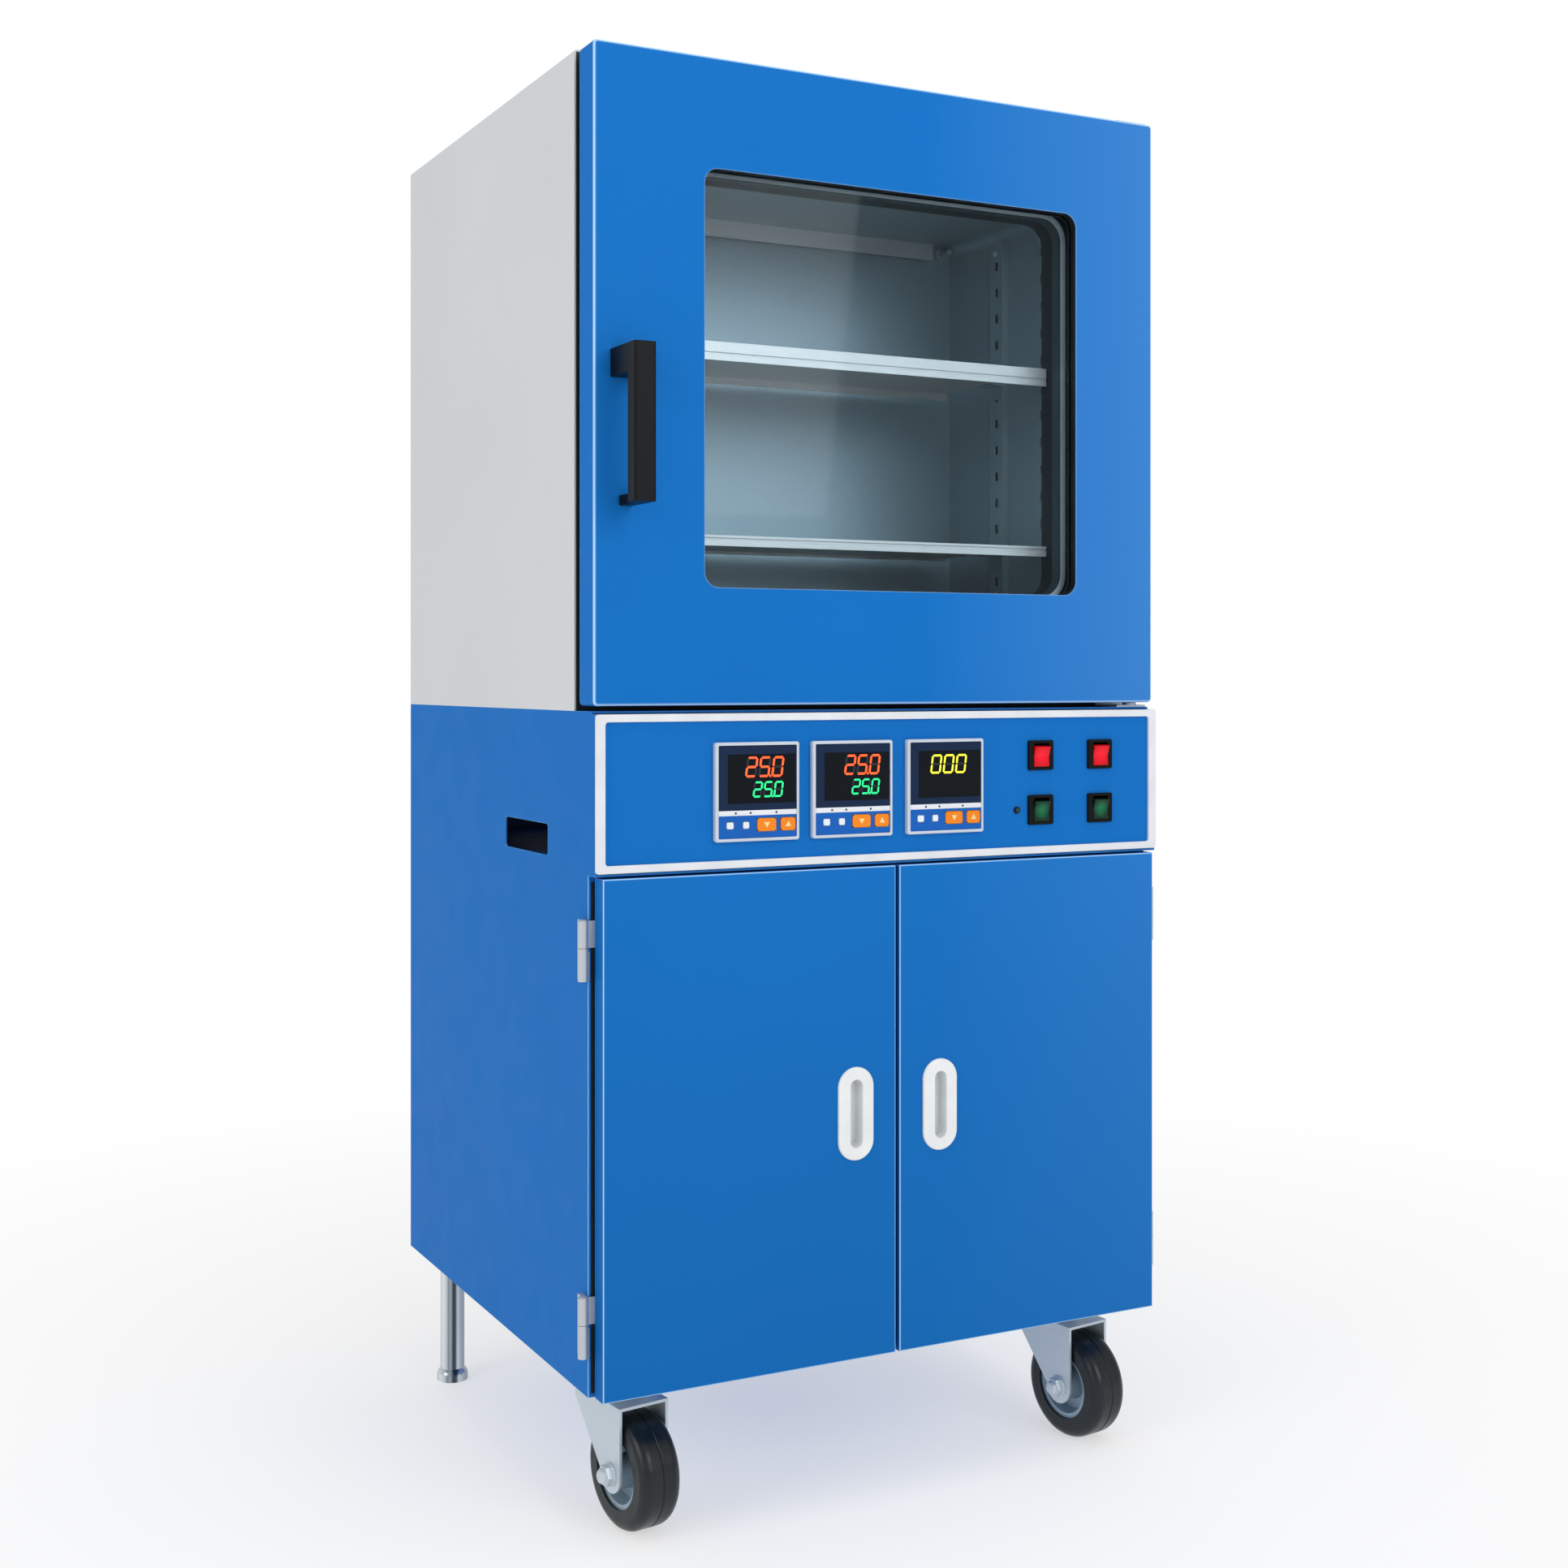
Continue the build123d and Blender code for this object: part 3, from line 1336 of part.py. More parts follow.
# Rear legs: chromed tube with a top plate and a flared foot
leg_top_z = cabinet_low_z - leg_plate_thick
with BuildPart() as rear_legs:
    for x in (-leg_x, leg_x):
        leg_point = (x, door_y + body_depth - leg_rear_inset)
        with BuildSketch(Plane.XY.offset(leg_top_z)):
            with Locations(leg_point):
                Circle(leg_plate_d / 2)
        extrude(amount=leg_plate_thick)
        with BuildSketch(Plane(origin=(*leg_point, 0), x_dir=(1, 0, 0), z_dir=(0, -1, 0))):
            with BuildLine():
                Line((0, 0), (leg_foot_d / 2, 0))
                Line((leg_foot_d / 2, 0), (leg_foot_d / 2, leg_foot_height))
                RadiusArc(
                    (leg_foot_d / 2, leg_foot_height),
                    (leg_d / 2, leg_foot_height + leg_foot_flare),
                    -leg_foot_flare * 1.2,
                )
                Line((leg_d / 2, leg_foot_height + leg_foot_flare), (leg_d / 2, leg_top_z))
                Line((leg_d / 2, leg_top_z), (0, leg_top_z))
                Line((0, leg_top_z), (0, 0))
            make_face()
        revolve(axis=Axis((*leg_point, 0), (0, 0, 1)))
save(rear_legs.part, "rear_legs")
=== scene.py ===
"""Looks of the vacuum oven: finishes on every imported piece, and the fine detail around them."""
from __future__ import annotations

import logging
import math
from dataclasses import dataclass, field
from enum import Enum
from typing import Any, Mapping, Sequence

import bmesh
import bpy
from mathutils import Matrix, Vector


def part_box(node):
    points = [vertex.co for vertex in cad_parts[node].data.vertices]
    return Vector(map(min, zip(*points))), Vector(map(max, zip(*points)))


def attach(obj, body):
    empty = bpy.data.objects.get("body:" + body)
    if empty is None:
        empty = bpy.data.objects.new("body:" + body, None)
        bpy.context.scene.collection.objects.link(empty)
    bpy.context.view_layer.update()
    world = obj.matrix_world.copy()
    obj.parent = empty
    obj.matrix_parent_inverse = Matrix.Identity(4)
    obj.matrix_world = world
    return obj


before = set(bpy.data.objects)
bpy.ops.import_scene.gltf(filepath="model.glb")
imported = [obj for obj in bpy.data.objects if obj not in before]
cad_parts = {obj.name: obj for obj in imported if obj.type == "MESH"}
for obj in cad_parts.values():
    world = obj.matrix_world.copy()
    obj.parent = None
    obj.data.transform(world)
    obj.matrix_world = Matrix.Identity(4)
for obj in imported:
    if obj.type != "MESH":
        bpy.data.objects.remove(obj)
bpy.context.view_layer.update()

log = logging.getLogger("vacuum_oven")
MM = 0.001
MERGE_DISTANCE = 1e-4
SHARP_ANGLE = math.radians(32)
CAMERA_TURN = math.radians(-27.3)
CAMERA_RIGHT = (math.cos(CAMERA_TURN), math.sin(CAMERA_TURN), 0.0)
Point = tuple[float, float, float]
Flat = tuple[float, float]
Edges = tuple[float, float, float, float]
Colour = tuple[float, float, float, float]
Socket = bpy.types.NodeSocket
Shape = bmesh.types.BMesh


def paint(red: float, green: float, blue: float) -> Colour:
    """Turn a colour as a screen shows it into the linear one that shaders take.

    Args:
        red: Red, 0 to 255.
        green: Green, 0 to 255.
        blue: Blue, 0 to 255.

    Returns:
        The linear colour with full alpha.
    """
    linear = [
        part / 12.92 if part <= 0.04045 else ((part + 0.055) / 1.055) ** 2.4
        for part in (red / 255, green / 255, blue / 255)
    ]
    return (linear[0], linear[1], linear[2], 1.0)


def shade(colour: Colour, factor: float) -> Colour:
    """Return the colour made darker or lighter by the factor."""
    return (colour[0] * factor, colour[1] * factor, colour[2] * factor, 1.0)


def corners(node: str) -> tuple[Vector, Vector]:
    """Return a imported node's lowest and highest corners in millimetres."""
    low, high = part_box(node)
    return low / MM, high / MM


def middle(node: str) -> Vector:
    """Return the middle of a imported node's box in millimetres."""
    low, high = corners(node)
    return (low + high) / 2


def front_of(node: str) -> Point:
    """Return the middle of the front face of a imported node's box in millimetres."""
    spot = middle(node)
    return (spot.x, corners(node)[0].y, spot.z)


def spaced(low: float, high: float, inset: float, count: int) -> list[float]:
    """Return evenly spaced places between two edges.

    Args:
        low: First edge.
        high: Other edge.
        inset: Distance of the outer places from the edges.
        count: Number of places.

    Returns:
        The places in order.
    """
    step = (high - low - 2 * inset) / (count - 1)
    return [low + inset + step * index for index in range(count)]


class Facing(Enum):
    """The way that a round or flat piece of hardware faces."""

    FRONT = (math.pi / 2, 0.0, 0.0)
    REAR = (-math.pi / 2, 0.0, 0.0)
    LEFT = (0.0, -math.pi / 2, 0.0)
    RIGHT = (0.0, math.pi / 2, 0.0)
    UP = (0.0, 0.0, 0.0)
    DOWN = (math.pi, 0.0, 0.0)

    def turn(self) -> Matrix:
        """Return the rotation that takes +Z to this direction."""
        x, y, z = self.value
        return Matrix.Rotation(z, 4, "Z") @ Matrix.Rotation(y, 4, "Y") @ Matrix.Rotation(x, 4, "X")


class NodeSheet:
    """A material's node tree, with short calls for the nodes that the finishes share."""

    def __init__(self, name: str) -> None:
        """Start a material with one Principled shader.

        Args:
            name: Name of the material.
        """
        self.material = bpy.data.materials.new(name)
        self.material.use_nodes = True
        self.tree = self.material.node_tree
        self.tree.nodes.clear()
        self.output = self.add("OutputMaterial")
        self.shader = self.add("BsdfPrincipled")
        self.show(self.shader.outputs[0])
        coordinates = self.add("TexCoord")
        self.place = coordinates.outputs["Object"]
        self.normal = coordinates.outputs["Normal"]

    def add(
        self, kind: str, inputs: Mapping[str | int, Any] | None = None, **settings: Any
    ) -> bpy.types.Node:
        """Add a node.

        Args:
            kind: Type of the node, without its prefix.
            inputs: A socket to link or a value to set, for each input's name or number.
            settings: The node's own properties.

        Returns:
            The node.
        """
        node = self.tree.nodes.new(f"ShaderNode{kind}")
        for name, value in settings.items():
            setattr(node, name, value)
        self.fill(node, inputs or {})
        return node

    def fill(self, node: bpy.types.Node, inputs: Mapping[str | int, Any]) -> None:
        """Link or set a node's inputs.

        Args:
            node: The node.
            inputs: A socket to link or a value to set, for each input's name or number.
        """
        for key, value in inputs.items():
            if isinstance(value, Socket):
                self.tree.links.new(value, node.inputs[key])
            else:
                node.inputs[key].default_value = value

    def wear(self, **inputs: Any) -> None:
        """Link or set the shader's inputs, named with underscores for spaces."""
        self.fill(self.shader, {name.replace("_", " "): value for name, value in inputs.items()})

    def show(self, surface: Socket) -> None:
        """Make a shader's socket the material's surface."""
        self.fill(self.output, {"Surface": surface})

    def mapped(self, stretch: Point, centre: Point = (0, 0, 0)) -> Socket:
        """Return object coordinates stretched along the axes around a centre.

        Args:
            stretch: Scale along each axis.
            centre: Point that becomes the pattern's origin, in metres.

        Returns:
            The mapped coordinate socket.
        """
        origin = [-c * s for c, s in zip(centre, stretch)]
        inputs = {"Scale": stretch, "Location": origin, "Vector": self.place}
        return self.add("Mapping", inputs, vector_type="POINT").outputs[0]

    def noise(self, scale: float, detail: float = 2.0, stretch: Point = (1, 1, 1)) -> Socket:
        """Return a noise value over the object's own coordinates.

        Args:
            scale: Pattern repeats per metre.
            detail: Octaves of finer noise.
            stretch: Scale along each axis, for brushed or drawn surfaces.

        Returns:
            The noise's factor socket.
        """
        inputs = {"Scale": scale, "Detail": detail, "Vector": self.mapped(stretch)}
        return self.add("TexNoise", inputs).outputs["Fac"]

    def spread(self, value: Socket, low: float = 0.0, high: float = 1.0) -> Socket:
        """Map a noise's useful middle on to a range.

        Args:
            value: Socket with the noise.
            low: What 0.3 becomes.
            high: What 0.7 becomes.

        Returns:
            The mapped value.
        """
        return self.add("MapRange", {
            "From Min": 0.3, "From Max": 0.7, "To Min": low, "To Max": high, "Value": value,
        }).outputs[0]

    def between(self, factor: Socket, first: Colour | Socket, second: Colour | Socket) -> Socket:
        """Mix two colours.

        Args:
            factor: Share of the second colour.
            first: Colour, or a socket that gives one.
            second: Colour, or a socket that gives one.

        Returns:
            The mixed colour.
        """
        inputs = {"Factor": factor, 6: first, 7: second}
        return self.add("Mix", inputs, data_type="RGBA").outputs[2]

    def combine(
        self, operation: str, first: Socket | float, second: Socket | float, clamp: bool = True
    ) -> Socket:
        """Return a Math node's result.

        Args:
            operation: The node's operation.
            first: First value, as a socket or a number.
            second: Second value, as a socket or a number.
            clamp: Whether the result is kept within 0 to 1.

        Returns:
            The result's socket.
        """
        inputs = {0: first, 1: second}
        return self.add("Math", inputs, operation=operation, use_clamp=clamp).outputs[0]

    def dot(self, first: Socket, second: Socket | Point) -> Socket:
        """Return the dot product of two vectors."""
        node = self.add("VectorMath", {0: first, 1: second}, operation="DOT_PRODUCT")
        return node.outputs["Value"]

    def rounded(self, radius_mm: float) -> Socket:
        """Return the normal of edges softened to a radius in millimetres."""
        return self.add("Bevel", {"Radius": radius_mm * MM}, samples=6).outputs["Normal"]

    def edges(self, soft: Socket, gain: float) -> Socket:
        """Return how near a point is to an outer edge, from the softened normal.

        Args:
            soft: Normal socket of rounded edges.
            gain: How quickly the value rises to 1.

        Returns:
            A value from 0 on flat metal to 1 on an edge.
        """
        flat = self.add("NewGeometry").outputs["True Normal"]
        turned = self.combine("SUBTRACT", 1.0, self.dot(soft, flat), clamp=False)
        return self.combine("MULTIPLY", turned, gain)

    def along(self, axis: str, low_mm: float, high_mm: float) -> Socket:
        """Return a value that rises from 0 to 1 along one axis.

        Args:
            axis: X, Y or Z.
            low_mm: Where it is 0, in millimetres.
            high_mm: Where it is 1.

        Returns:
            The value's socket.
        """
        parts = self.add("SeparateXYZ", {0: self.place})
        return self.add("MapRange", {
            "From Min": low_mm * MM, "From Max": high_mm * MM, "Value": parts.outputs[axis],
        }).outputs[0]

    def folds(self) -> Socket:
        """Return 1 where a surface turns halfway from the front to a side, and 0 on flat sheet."""
        depth = self.add("SeparateXYZ", {0: self.normal}).outputs["Y"]
        square = self.combine("MULTIPLY", depth, depth)
        rest = self.combine("SUBTRACT", 1.0, square, clamp=False)
        return self.combine("MULTIPLY", self.combine("MULTIPLY", square, rest), 4.0)

    def banded(self, across: Point, stops: Sequence[tuple[float, Colour]]) -> Socket:
        """Return a painted reflection: colours that change with the way that a surface faces.

        Args:
            across: Direction along which the stripes of the painted reflection follow each other.
            stops: Place of each colour, 0 where the surface faces against it and 1 along it.

        Returns:
            The colour's socket.
        """
        facing = self.dot(self.normal, across)
        centred = self.add("MapRange", {"From Min": -1.0, "Value": facing}).outputs[0]
        node = self.add("ValToRGB", {0: centred})
        ramp = node.color_ramp.elements
        for index, (place, colour) in enumerate(stops):
            stop = ramp[index] if index < 2 else ramp.new(place)
            stop.position = place
            stop.color = colour
        return node.outputs[0]

    def bump(
        self, height: Socket, depth_mm: float, strength: float, normal: Socket | None = None
    ) -> Socket:
        """Return a normal with a relief added.

        Args:
            height: The relief, 0 to 1.
            depth_mm: Its depth in millimetres.
            strength: Share of the relief that shows.
            normal: Normal to start from.

        Returns:
            The bumped normal.
        """
        inputs = {"Distance": depth_mm * MM, "Strength": strength, "Height": height}
        if normal is not None:
            inputs["Normal"] = normal
        return self.add("Bump", inputs).outputs[0]

    def blend(self, factor: Socket, first: Socket, second: Socket) -> None:
        """Make a mix of two shaders the material's surface."""
        self.show(self.add("MixShader", {0: factor, 1: first, 2: second}).outputs[0])


@dataclass(frozen=True)
class Finish:
    """A surface that a piece can have.

    Attributes:
        name: Name of the material.
        colour: Colour of the bare surface.
    """

    name: str
    colour: Colour

    def build(self) -> bpy.types.Material:
        """Return the material."""
        sheet = NodeSheet(self.name)
        self.draw(sheet)
        return sheet.material

    def draw(self, sheet: NodeSheet) -> None:
        """Add the finish's nodes.

        Args:
            sheet: The material's sheet.
        """
        sheet.wear(Base_Color=self.colour)

    def mottled(self, value: Socket, sheet: NodeSheet, low: float, high: float) -> Socket:
        """Return the finish's colour, lighter and darker in a pattern.

        Args:
            value: Socket of the pattern.
            sheet: The material's sheet.
            low: Factor on the colour where the pattern is 0.
            high: Factor on the colour where the pattern is 1.

        Returns:
            The colour's socket.
        """
        return sheet.between(value, shade(self.colour, low), shade(self.colour, high))


@dataclass(frozen=True)
class PowderCoat(Finish):
    """Baked powder paint on folded sheet steel, with a painted highlight along its bends and edges.

    Attributes:
        edge: Colour of the painted highlight along the paint's bends and edges.
        rounding: Radius of the softened edges in millimetres.
        roughness: Roughness of the paint.
        gloss: How much the paint mirrors.
        lit: Colour of the painted light that the right end takes from a bright wall, if any; with
            it, painted shade also darkens the bottom.
    """

    edge: Colour
    rounding: float = 1.6
    roughness: float = 0.42
    gloss: float = 0.3
    lit: Colour | None = None

    def draw(self, sheet: NodeSheet) -> None:
        """Add the paint's nodes."""
        body = self.mottled(sheet.spread(sheet.noise(3.5, 3.0)), sheet, 0.98, 1.02)
        # Painted light towards the right end, then painted shade towards the bottom.
        if self.lit is not None:
            body = sheet.between(sheet.along("X", 40.0, 330.0), body, self.lit)
            low = sheet.combine("MULTIPLY", sheet.along("Z", 650.0, 150.0), 0.5)
            body = sheet.between(low, body, shade(self.colour, 0.72))
        soft = sheet.rounded(self.rounding)
        # Painted highlight: edges and the bends between front and side are mixed towards the edge
        # colour.
        bright = sheet.combine("MAXIMUM", sheet.edges(soft, 3.0), sheet.folds())
        cloud = sheet.noise(24.0, 4.0)
        sheet.wear(
            Base_Color=sheet.between(bright, body, self.edge),
            Roughness=sheet.spread(cloud, self.roughness - 0.04, self.roughness + 0.05),
            Normal=sheet.bump(sheet.noise(1800.0, 1.0), 0.03, 0.25, soft),
            Specular_IOR_Level=self.gloss,
        )


@dataclass(frozen=True)
class SheetMetal(Finish):
    """Bare rolled or brushed metal.

    Attributes:
        stretch: Scale of the brushed lines along each axis.
        roughness: Roughness of the metal.
        metallic: Share of metal in the shading.
        rounding: Radius of the softened edges in millimetres.
    """

    stretch: Point = (1.0, 1.0, 60.0)
    roughness: float = 0.36
    metallic: float = 0.85
    rounding: float = 0.8

    def draw(self, sheet: NodeSheet) -> None:
        """Add the metal's nodes."""
        lines = sheet.noise(26.0, 5.0, self.stretch)
        smear = sheet.spread(sheet.noise(7.0, 4.0))
        grain = self.mottled(sheet.spread(lines), sheet, 0.93, 1.05)
        sheet.wear(
            Base_Color=sheet.between(smear, grain, shade(self.colour, 0.96)),
            Roughness=sheet.spread(lines, self.roughness - 0.05, self.roughness + 0.07),
            Normal=sheet.bump(lines, 0.02, 0.3, sheet.rounded(self.rounding)),
            Metallic=self.metallic,
        )


@dataclass(frozen=True)
class PlatedSteel(Finish):
    """Zinc or chrome plate, with a faint spangle and a painted highlight along its edges, or a
    painted reflection in stripes.

    Attributes:
        roughness: Roughness of the plate.
        spangle: Cells per metre of the plate's crystals.
        metallic: Share of metal in the shading.
        reflection_bands: Colours of the painted reflection of a bright tube, from its left to its
            right, if any.
    """

    roughness: float = 0.28
    spangle: float = 160.0
    metallic: float = 0.9
    reflection_bands: tuple[tuple[float, Colour], ...] = ()

    def draw(self, sheet: NodeSheet) -> None:
        """Add the plate's nodes."""
        cells = sheet.add("TexVoronoi", {"Scale": self.spangle, "Vector": sheet.place})
        patch = sheet.noise(45.0, 3.0)
        soft = sheet.rounded(0.6)
        if self.reflection_bands:
            # Painted reflection of a bright tube, in stripes across the camera's view.
            tint = sheet.banded(CAMERA_RIGHT, self.reflection_bands)
        else:
            plate = self.mottled(cells.outputs["Distance"], sheet, 1.01, 0.98)
            # Painted highlight: edges are mixed towards a lighter copy of the plate.
            tint = sheet.between(sheet.edges(soft, 1.5), plate, shade(self.colour, 1.15))
        sheet.wear(
            Base_Color=tint,
            Roughness=sheet.spread(patch, self.roughness - 0.06, self.roughness + 0.08),
            Normal=sheet.bump(patch, 0.03, 0.3, soft),
            Metallic=self.metallic,
        )


@dataclass(frozen=True)
class MouldedPlastic(Finish):
    """Moulded plastic with a spark-eroded grain and a painted highlight on its edges.

    Attributes:
        roughness: Roughness of the surface.
        grain_mm: Depth of the grain in millimetres.
        edge: How much lighter the painted highlight on the edges is.
        gloss: How much the plastic mirrors.
    """

    roughness: float = 0.45
    grain_mm: float = 0.03
    edge: float = 1.25
    gloss: float = 0.4

    def draw(self, sheet: NodeSheet) -> None:
        """Add the plastic's nodes."""
        grain = sheet.noise(1400.0, 2.0)
        soft = sheet.rounded(0.5)
        body = self.mottled(sheet.spread(sheet.noise(30.0, 3.0)), sheet, 0.95, 1.05)
        # Painted highlight: edges are mixed towards a lighter copy of the colour.
        sheet.wear(
            Base_Color=sheet.between(sheet.edges(soft, 1.8), body, shade(self.colour, self.edge)),
            Roughness=sheet.spread(grain, self.roughness - 0.04, self.roughness + 0.06),
            Normal=sheet.bump(grain, self.grain_mm, 0.4, soft),
            Specular_IOR_Level=self.gloss,
        )


@dataclass(frozen=True)
class Elastomer(Finish):
    """Rubber or silicone, bloomed in patches.

    Attributes:
        bloom: Colour of the bloom.
        roughness: Roughness of the rubber.
    """

    bloom: Colour
    roughness: float = 0.6

    def draw(self, sheet: NodeSheet) -> None:
        """Add the rubber's nodes."""
        patch = sheet.spread(sheet.noise(60.0, 5.0), 0.0, 0.7)
        sheet.wear(
            Base_Color=sheet.between(patch, self.colour, self.bloom),
            Roughness=sheet.spread(patch, self.roughness - 0.08, self.roughness + 0.1),
            Normal=sheet.bump(sheet.noise(900.0, 2.0), 0.05, 0.35, sheet.rounded(0.8)),
            Specular_IOR_Level=0.35,
        )


@dataclass(frozen=True)
class ClearGlass(Finish):
    """Float or toughened glass that lets lamps through, a little smeared.

    Attributes:
        roughness: Roughness of the faces.
    """

    roughness: float = 0.02

    def draw(self, sheet: NodeSheet) -> None:
        """Add the glass's nodes."""
        smear = sheet.noise(9.0, 4.0)
        sheet.wear(
            Base_Color=self.colour,
            Transmission_Weight=1.0,
            IOR=1.12,
            Specular_IOR_Level=0.5,
            Roughness=sheet.spread(smear, self.roughness * 0.5, self.roughness * 1.6),
        )
        clear = sheet.add("BsdfTransparent", {"Color": self.colour}).outputs[0]
        shadow = sheet.add("LightPath").outputs["Is Shadow Ray"]
        sheet.blend(shadow, sheet.shader.outputs[0], clear)


@dataclass(frozen=True)
class GlowingLens(Finish):
    """Translucent switch or lamp plastic, with a painted highlight that glows at the middle of each
    front.

    Attributes:
        glow: Colour of the painted highlight at each middle.
        centres: Places of the painted highlights, in millimetres.
        reach: Radius that the painted highlight reaches, in millimetres.
        strength: Light that the painted highlight gives off.
    """

    glow: Colour
    centres: tuple[Point, ...]
    reach: float = 11.0
    strength: float = 0.5

    def draw(self, sheet: NodeSheet) -> None:
        """Add the lens's nodes."""
        # Painted highlight: a glowing spot at the front of each switch or lamp.
        total: Socket | None = None
        size = 1 / (self.reach * MM)
        for centre in self.centres:
            place = sheet.mapped((size, size, size), tuple(value * MM for value in centre))
            spot = sheet.add("TexGradient", {"Vector": place}, gradient_type="SPHERICAL")
            bright = sheet.combine("MULTIPLY", spot.outputs["Fac"], 1.1)
            total = bright if total is None else sheet.combine("MAXIMUM", total, bright)
        ripple = sheet.noise(420.0, 2.0)
        tint = sheet.between(total, self.colour, self.glow)
        sheet.wear(
            Base_Color=tint,
            Emission_Color=tint,
            Roughness=sheet.spread(ripple, 0.16, 0.26),
            Normal=sheet.bump(ripple, 0.04, 0.4, sheet.rounded(0.5)),
            Emission_Strength=self.strength,
            Specular_IOR_Level=0.25,
        )


@dataclass(frozen=True)
class LitSegment(Finish):
    """Light-emitting segment of a display.

    Attributes:
        strength: Strength of the light.
    """

    strength: float = 0.9

    def draw(self, sheet: NodeSheet) -> None:
        """Add the segment's nodes."""
        dots = sheet.noise(700.0, 1.0)
        tint = self.mottled(sheet.spread(dots), sheet, 0.88, 1.1)
        sheet.wear(
            Base_Color=tint,
            Emission_Color=tint,
            Roughness=sheet.spread(dots, 0.3, 0.4),
            Emission_Strength=self.strength,
        )


@dataclass(frozen=True)
class MineralWool(Finish):
    """Fibrous insulation blanket."""

    def draw(self, sheet: NodeSheet) -> None:
        """Add the blanket's nodes."""
        fibres = sheet.noise(220.0, 6.0, (1.0, 0.3, 2.0))
        tufts = sheet.noise(35.0, 4.0)
        sheet.wear(
            Base_Color=self.mottled(sheet.spread(fibres), sheet, 0.72, 1.1),
            Roughness=sheet.spread(fibres, 0.85, 0.98),
            Normal=sheet.bump(tufts, 4.0, 0.8, sheet.bump(fibres, 0.8, 0.7)),
            Sheen_Weight=0.3,
        )


SEGMENTS_OF = {"0": "abcdef", "2": "abged", "5": "afgcd"}
PAN_HEAD = ((1.0, 0.0), (1.0, 0.45), (0.86, 0.85), (0.62, 1.0))
DOME = ((0.42, 0.3), (0.33, 0.75), (0.16, 0.96), (0.0, 1.0))
DOT_PROFILE = ((1.1, -0.2), (1.1, 0.15), (0.7, 0.4), (0.0, 0.45))
REAR_WASHER = ((0.0, 0.0), (5.2, 0.0), (5.2, 0.7), (4.9, 0.9), (0.0, 0.9))
PIN_CAP = ((0.0, 0.0), (4.2, 0.0), (4.2, 0.5), (3.0, 1.2), (0.0, 1.5))
BOLT_WASHER = ((0.0, 0.0), (7.5, 0.0), (7.5, 1.2), (0.0, 1.2))
AXLE_WASHER = ((6.0, 0.0), (11.5, 0.0), (11.5, 1.2), (10.9, 1.7), (6.0, 1.7), (6.0, 0.0))
SWITCH_NODES = {
    "red": ("left_heat_rocker", "right_heat_rocker"),
    "green": ("pump_rocker", "vent_rocker"),
}

CABINET_BLUE = PowderCoat("cabinet_blue", paint(20, 108, 188), paint(120, 182, 236), 1.4, 0.5, 0.04)
# Door paints with painted light towards the right end and painted shade towards the bottom.
DOOR_BLUE = PowderCoat(
    "door_blue", paint(20, 110, 190), paint(176, 216, 250), 1.6, 0.5, 0.04, paint(58, 126, 200)
)
LEAF_BLUE = PowderCoat(
    "leaf_blue", paint(22, 109, 187), paint(168, 210, 248), 1.6, 0.5, 0.04, paint(42, 118, 194)
)
CASING_GREY = PowderCoat("casing_grey", paint(203, 207, 210), paint(232, 235, 236), 1.2, 0.5, 0.25)
REAR_GREY = PowderCoat("rear_grey", paint(200, 204, 206), paint(226, 229, 230), 0.8, 0.5)
TRIM_WHITE = MouldedPlastic("trim_white", paint(219, 222, 227), 0.4, 0.02, 1.06)
CASE_GREY = MouldedPlastic("controller_grey", paint(196, 204, 216), 0.42, 0.02, 1.12)
BEZEL_NAVY = MouldedPlastic("bezel_navy", paint(10, 34, 66), 0.4, gloss=0.15)
STRIP_BLUE = MouldedPlastic("strip_blue", paint(14, 92, 180), 0.38, gloss=0.15)
STRIP_WHITE = MouldedPlastic("strip_white", paint(222, 226, 232), 0.4, 0.02, 1.05)
LENS_BLACK = MouldedPlastic("lens_black", paint(5, 13, 20), 0.1, 0.002, 1.6, 0.12)
KEY_WHITE = MouldedPlastic("key_white", paint(222, 230, 240), 0.45, 0.03, 1.05)
KEY_ORANGE = MouldedPlastic("key_orange", paint(238, 132, 24), 0.42, 0.03, 1.2, 0.2)
MARK_PALE = MouldedPlastic("mark_pale", paint(250, 214, 150), 0.5, 0.01, 1.0)
MARK_DARK = MouldedPlastic("mark_dark", paint(30, 40, 60), 0.5, 0.01, 1.0)
DIGIT_RED = LitSegment("digit_red", paint(255, 82, 28))
DIGIT_GREEN = LitSegment("digit_green", paint(20, 226, 128))
DIGIT_YELLOW = LitSegment("digit_yellow", paint(232, 224, 40))
DIGIT_DIM = MouldedPlastic("digit_dim", paint(17, 27, 36), 0.3, 0.002, 1.0)
SWITCH_BLACK = MouldedPlastic("switch_black", paint(8, 9, 11), 0.34, 0.02, 3.0, 0.12)
HANDLE_BLACK = MouldedPlastic("handle_black", paint(6, 9, 12), 0.4, 0.03, 9.0, 0.14)
PULL_WHITE = MouldedPlastic("pull_white", paint(226, 229, 229), 0.34, 0.01, 1.05)
FRAME_DARK = PowderCoat("frame_dark", paint(26, 38, 43), paint(64, 78, 85), 1.2, 0.45, 0.2)
STAINLESS = SheetMetal("chamber_stainless", paint(150, 168, 175), (1.0, 1.0, 40.0), 0.4, 0.5)
SHELF_STEEL = SheetMetal("shelf_stainless", paint(200, 200, 198), (1.0, 50.0, 50.0), 0.32, 0.45)
HEATER_PLATE = SheetMetal("heater_plate", paint(170, 172, 174), (40.0, 1.0, 1.0), 0.5, 0.8)
ZINC = PlatedSteel("bright_zinc", paint(196, 207, 214), 0.34, 150.0, 0.45)
HINGE_METAL = PlatedSteel("hinge_satin", paint(188, 194, 200), 0.38, 300.0, 0.55)
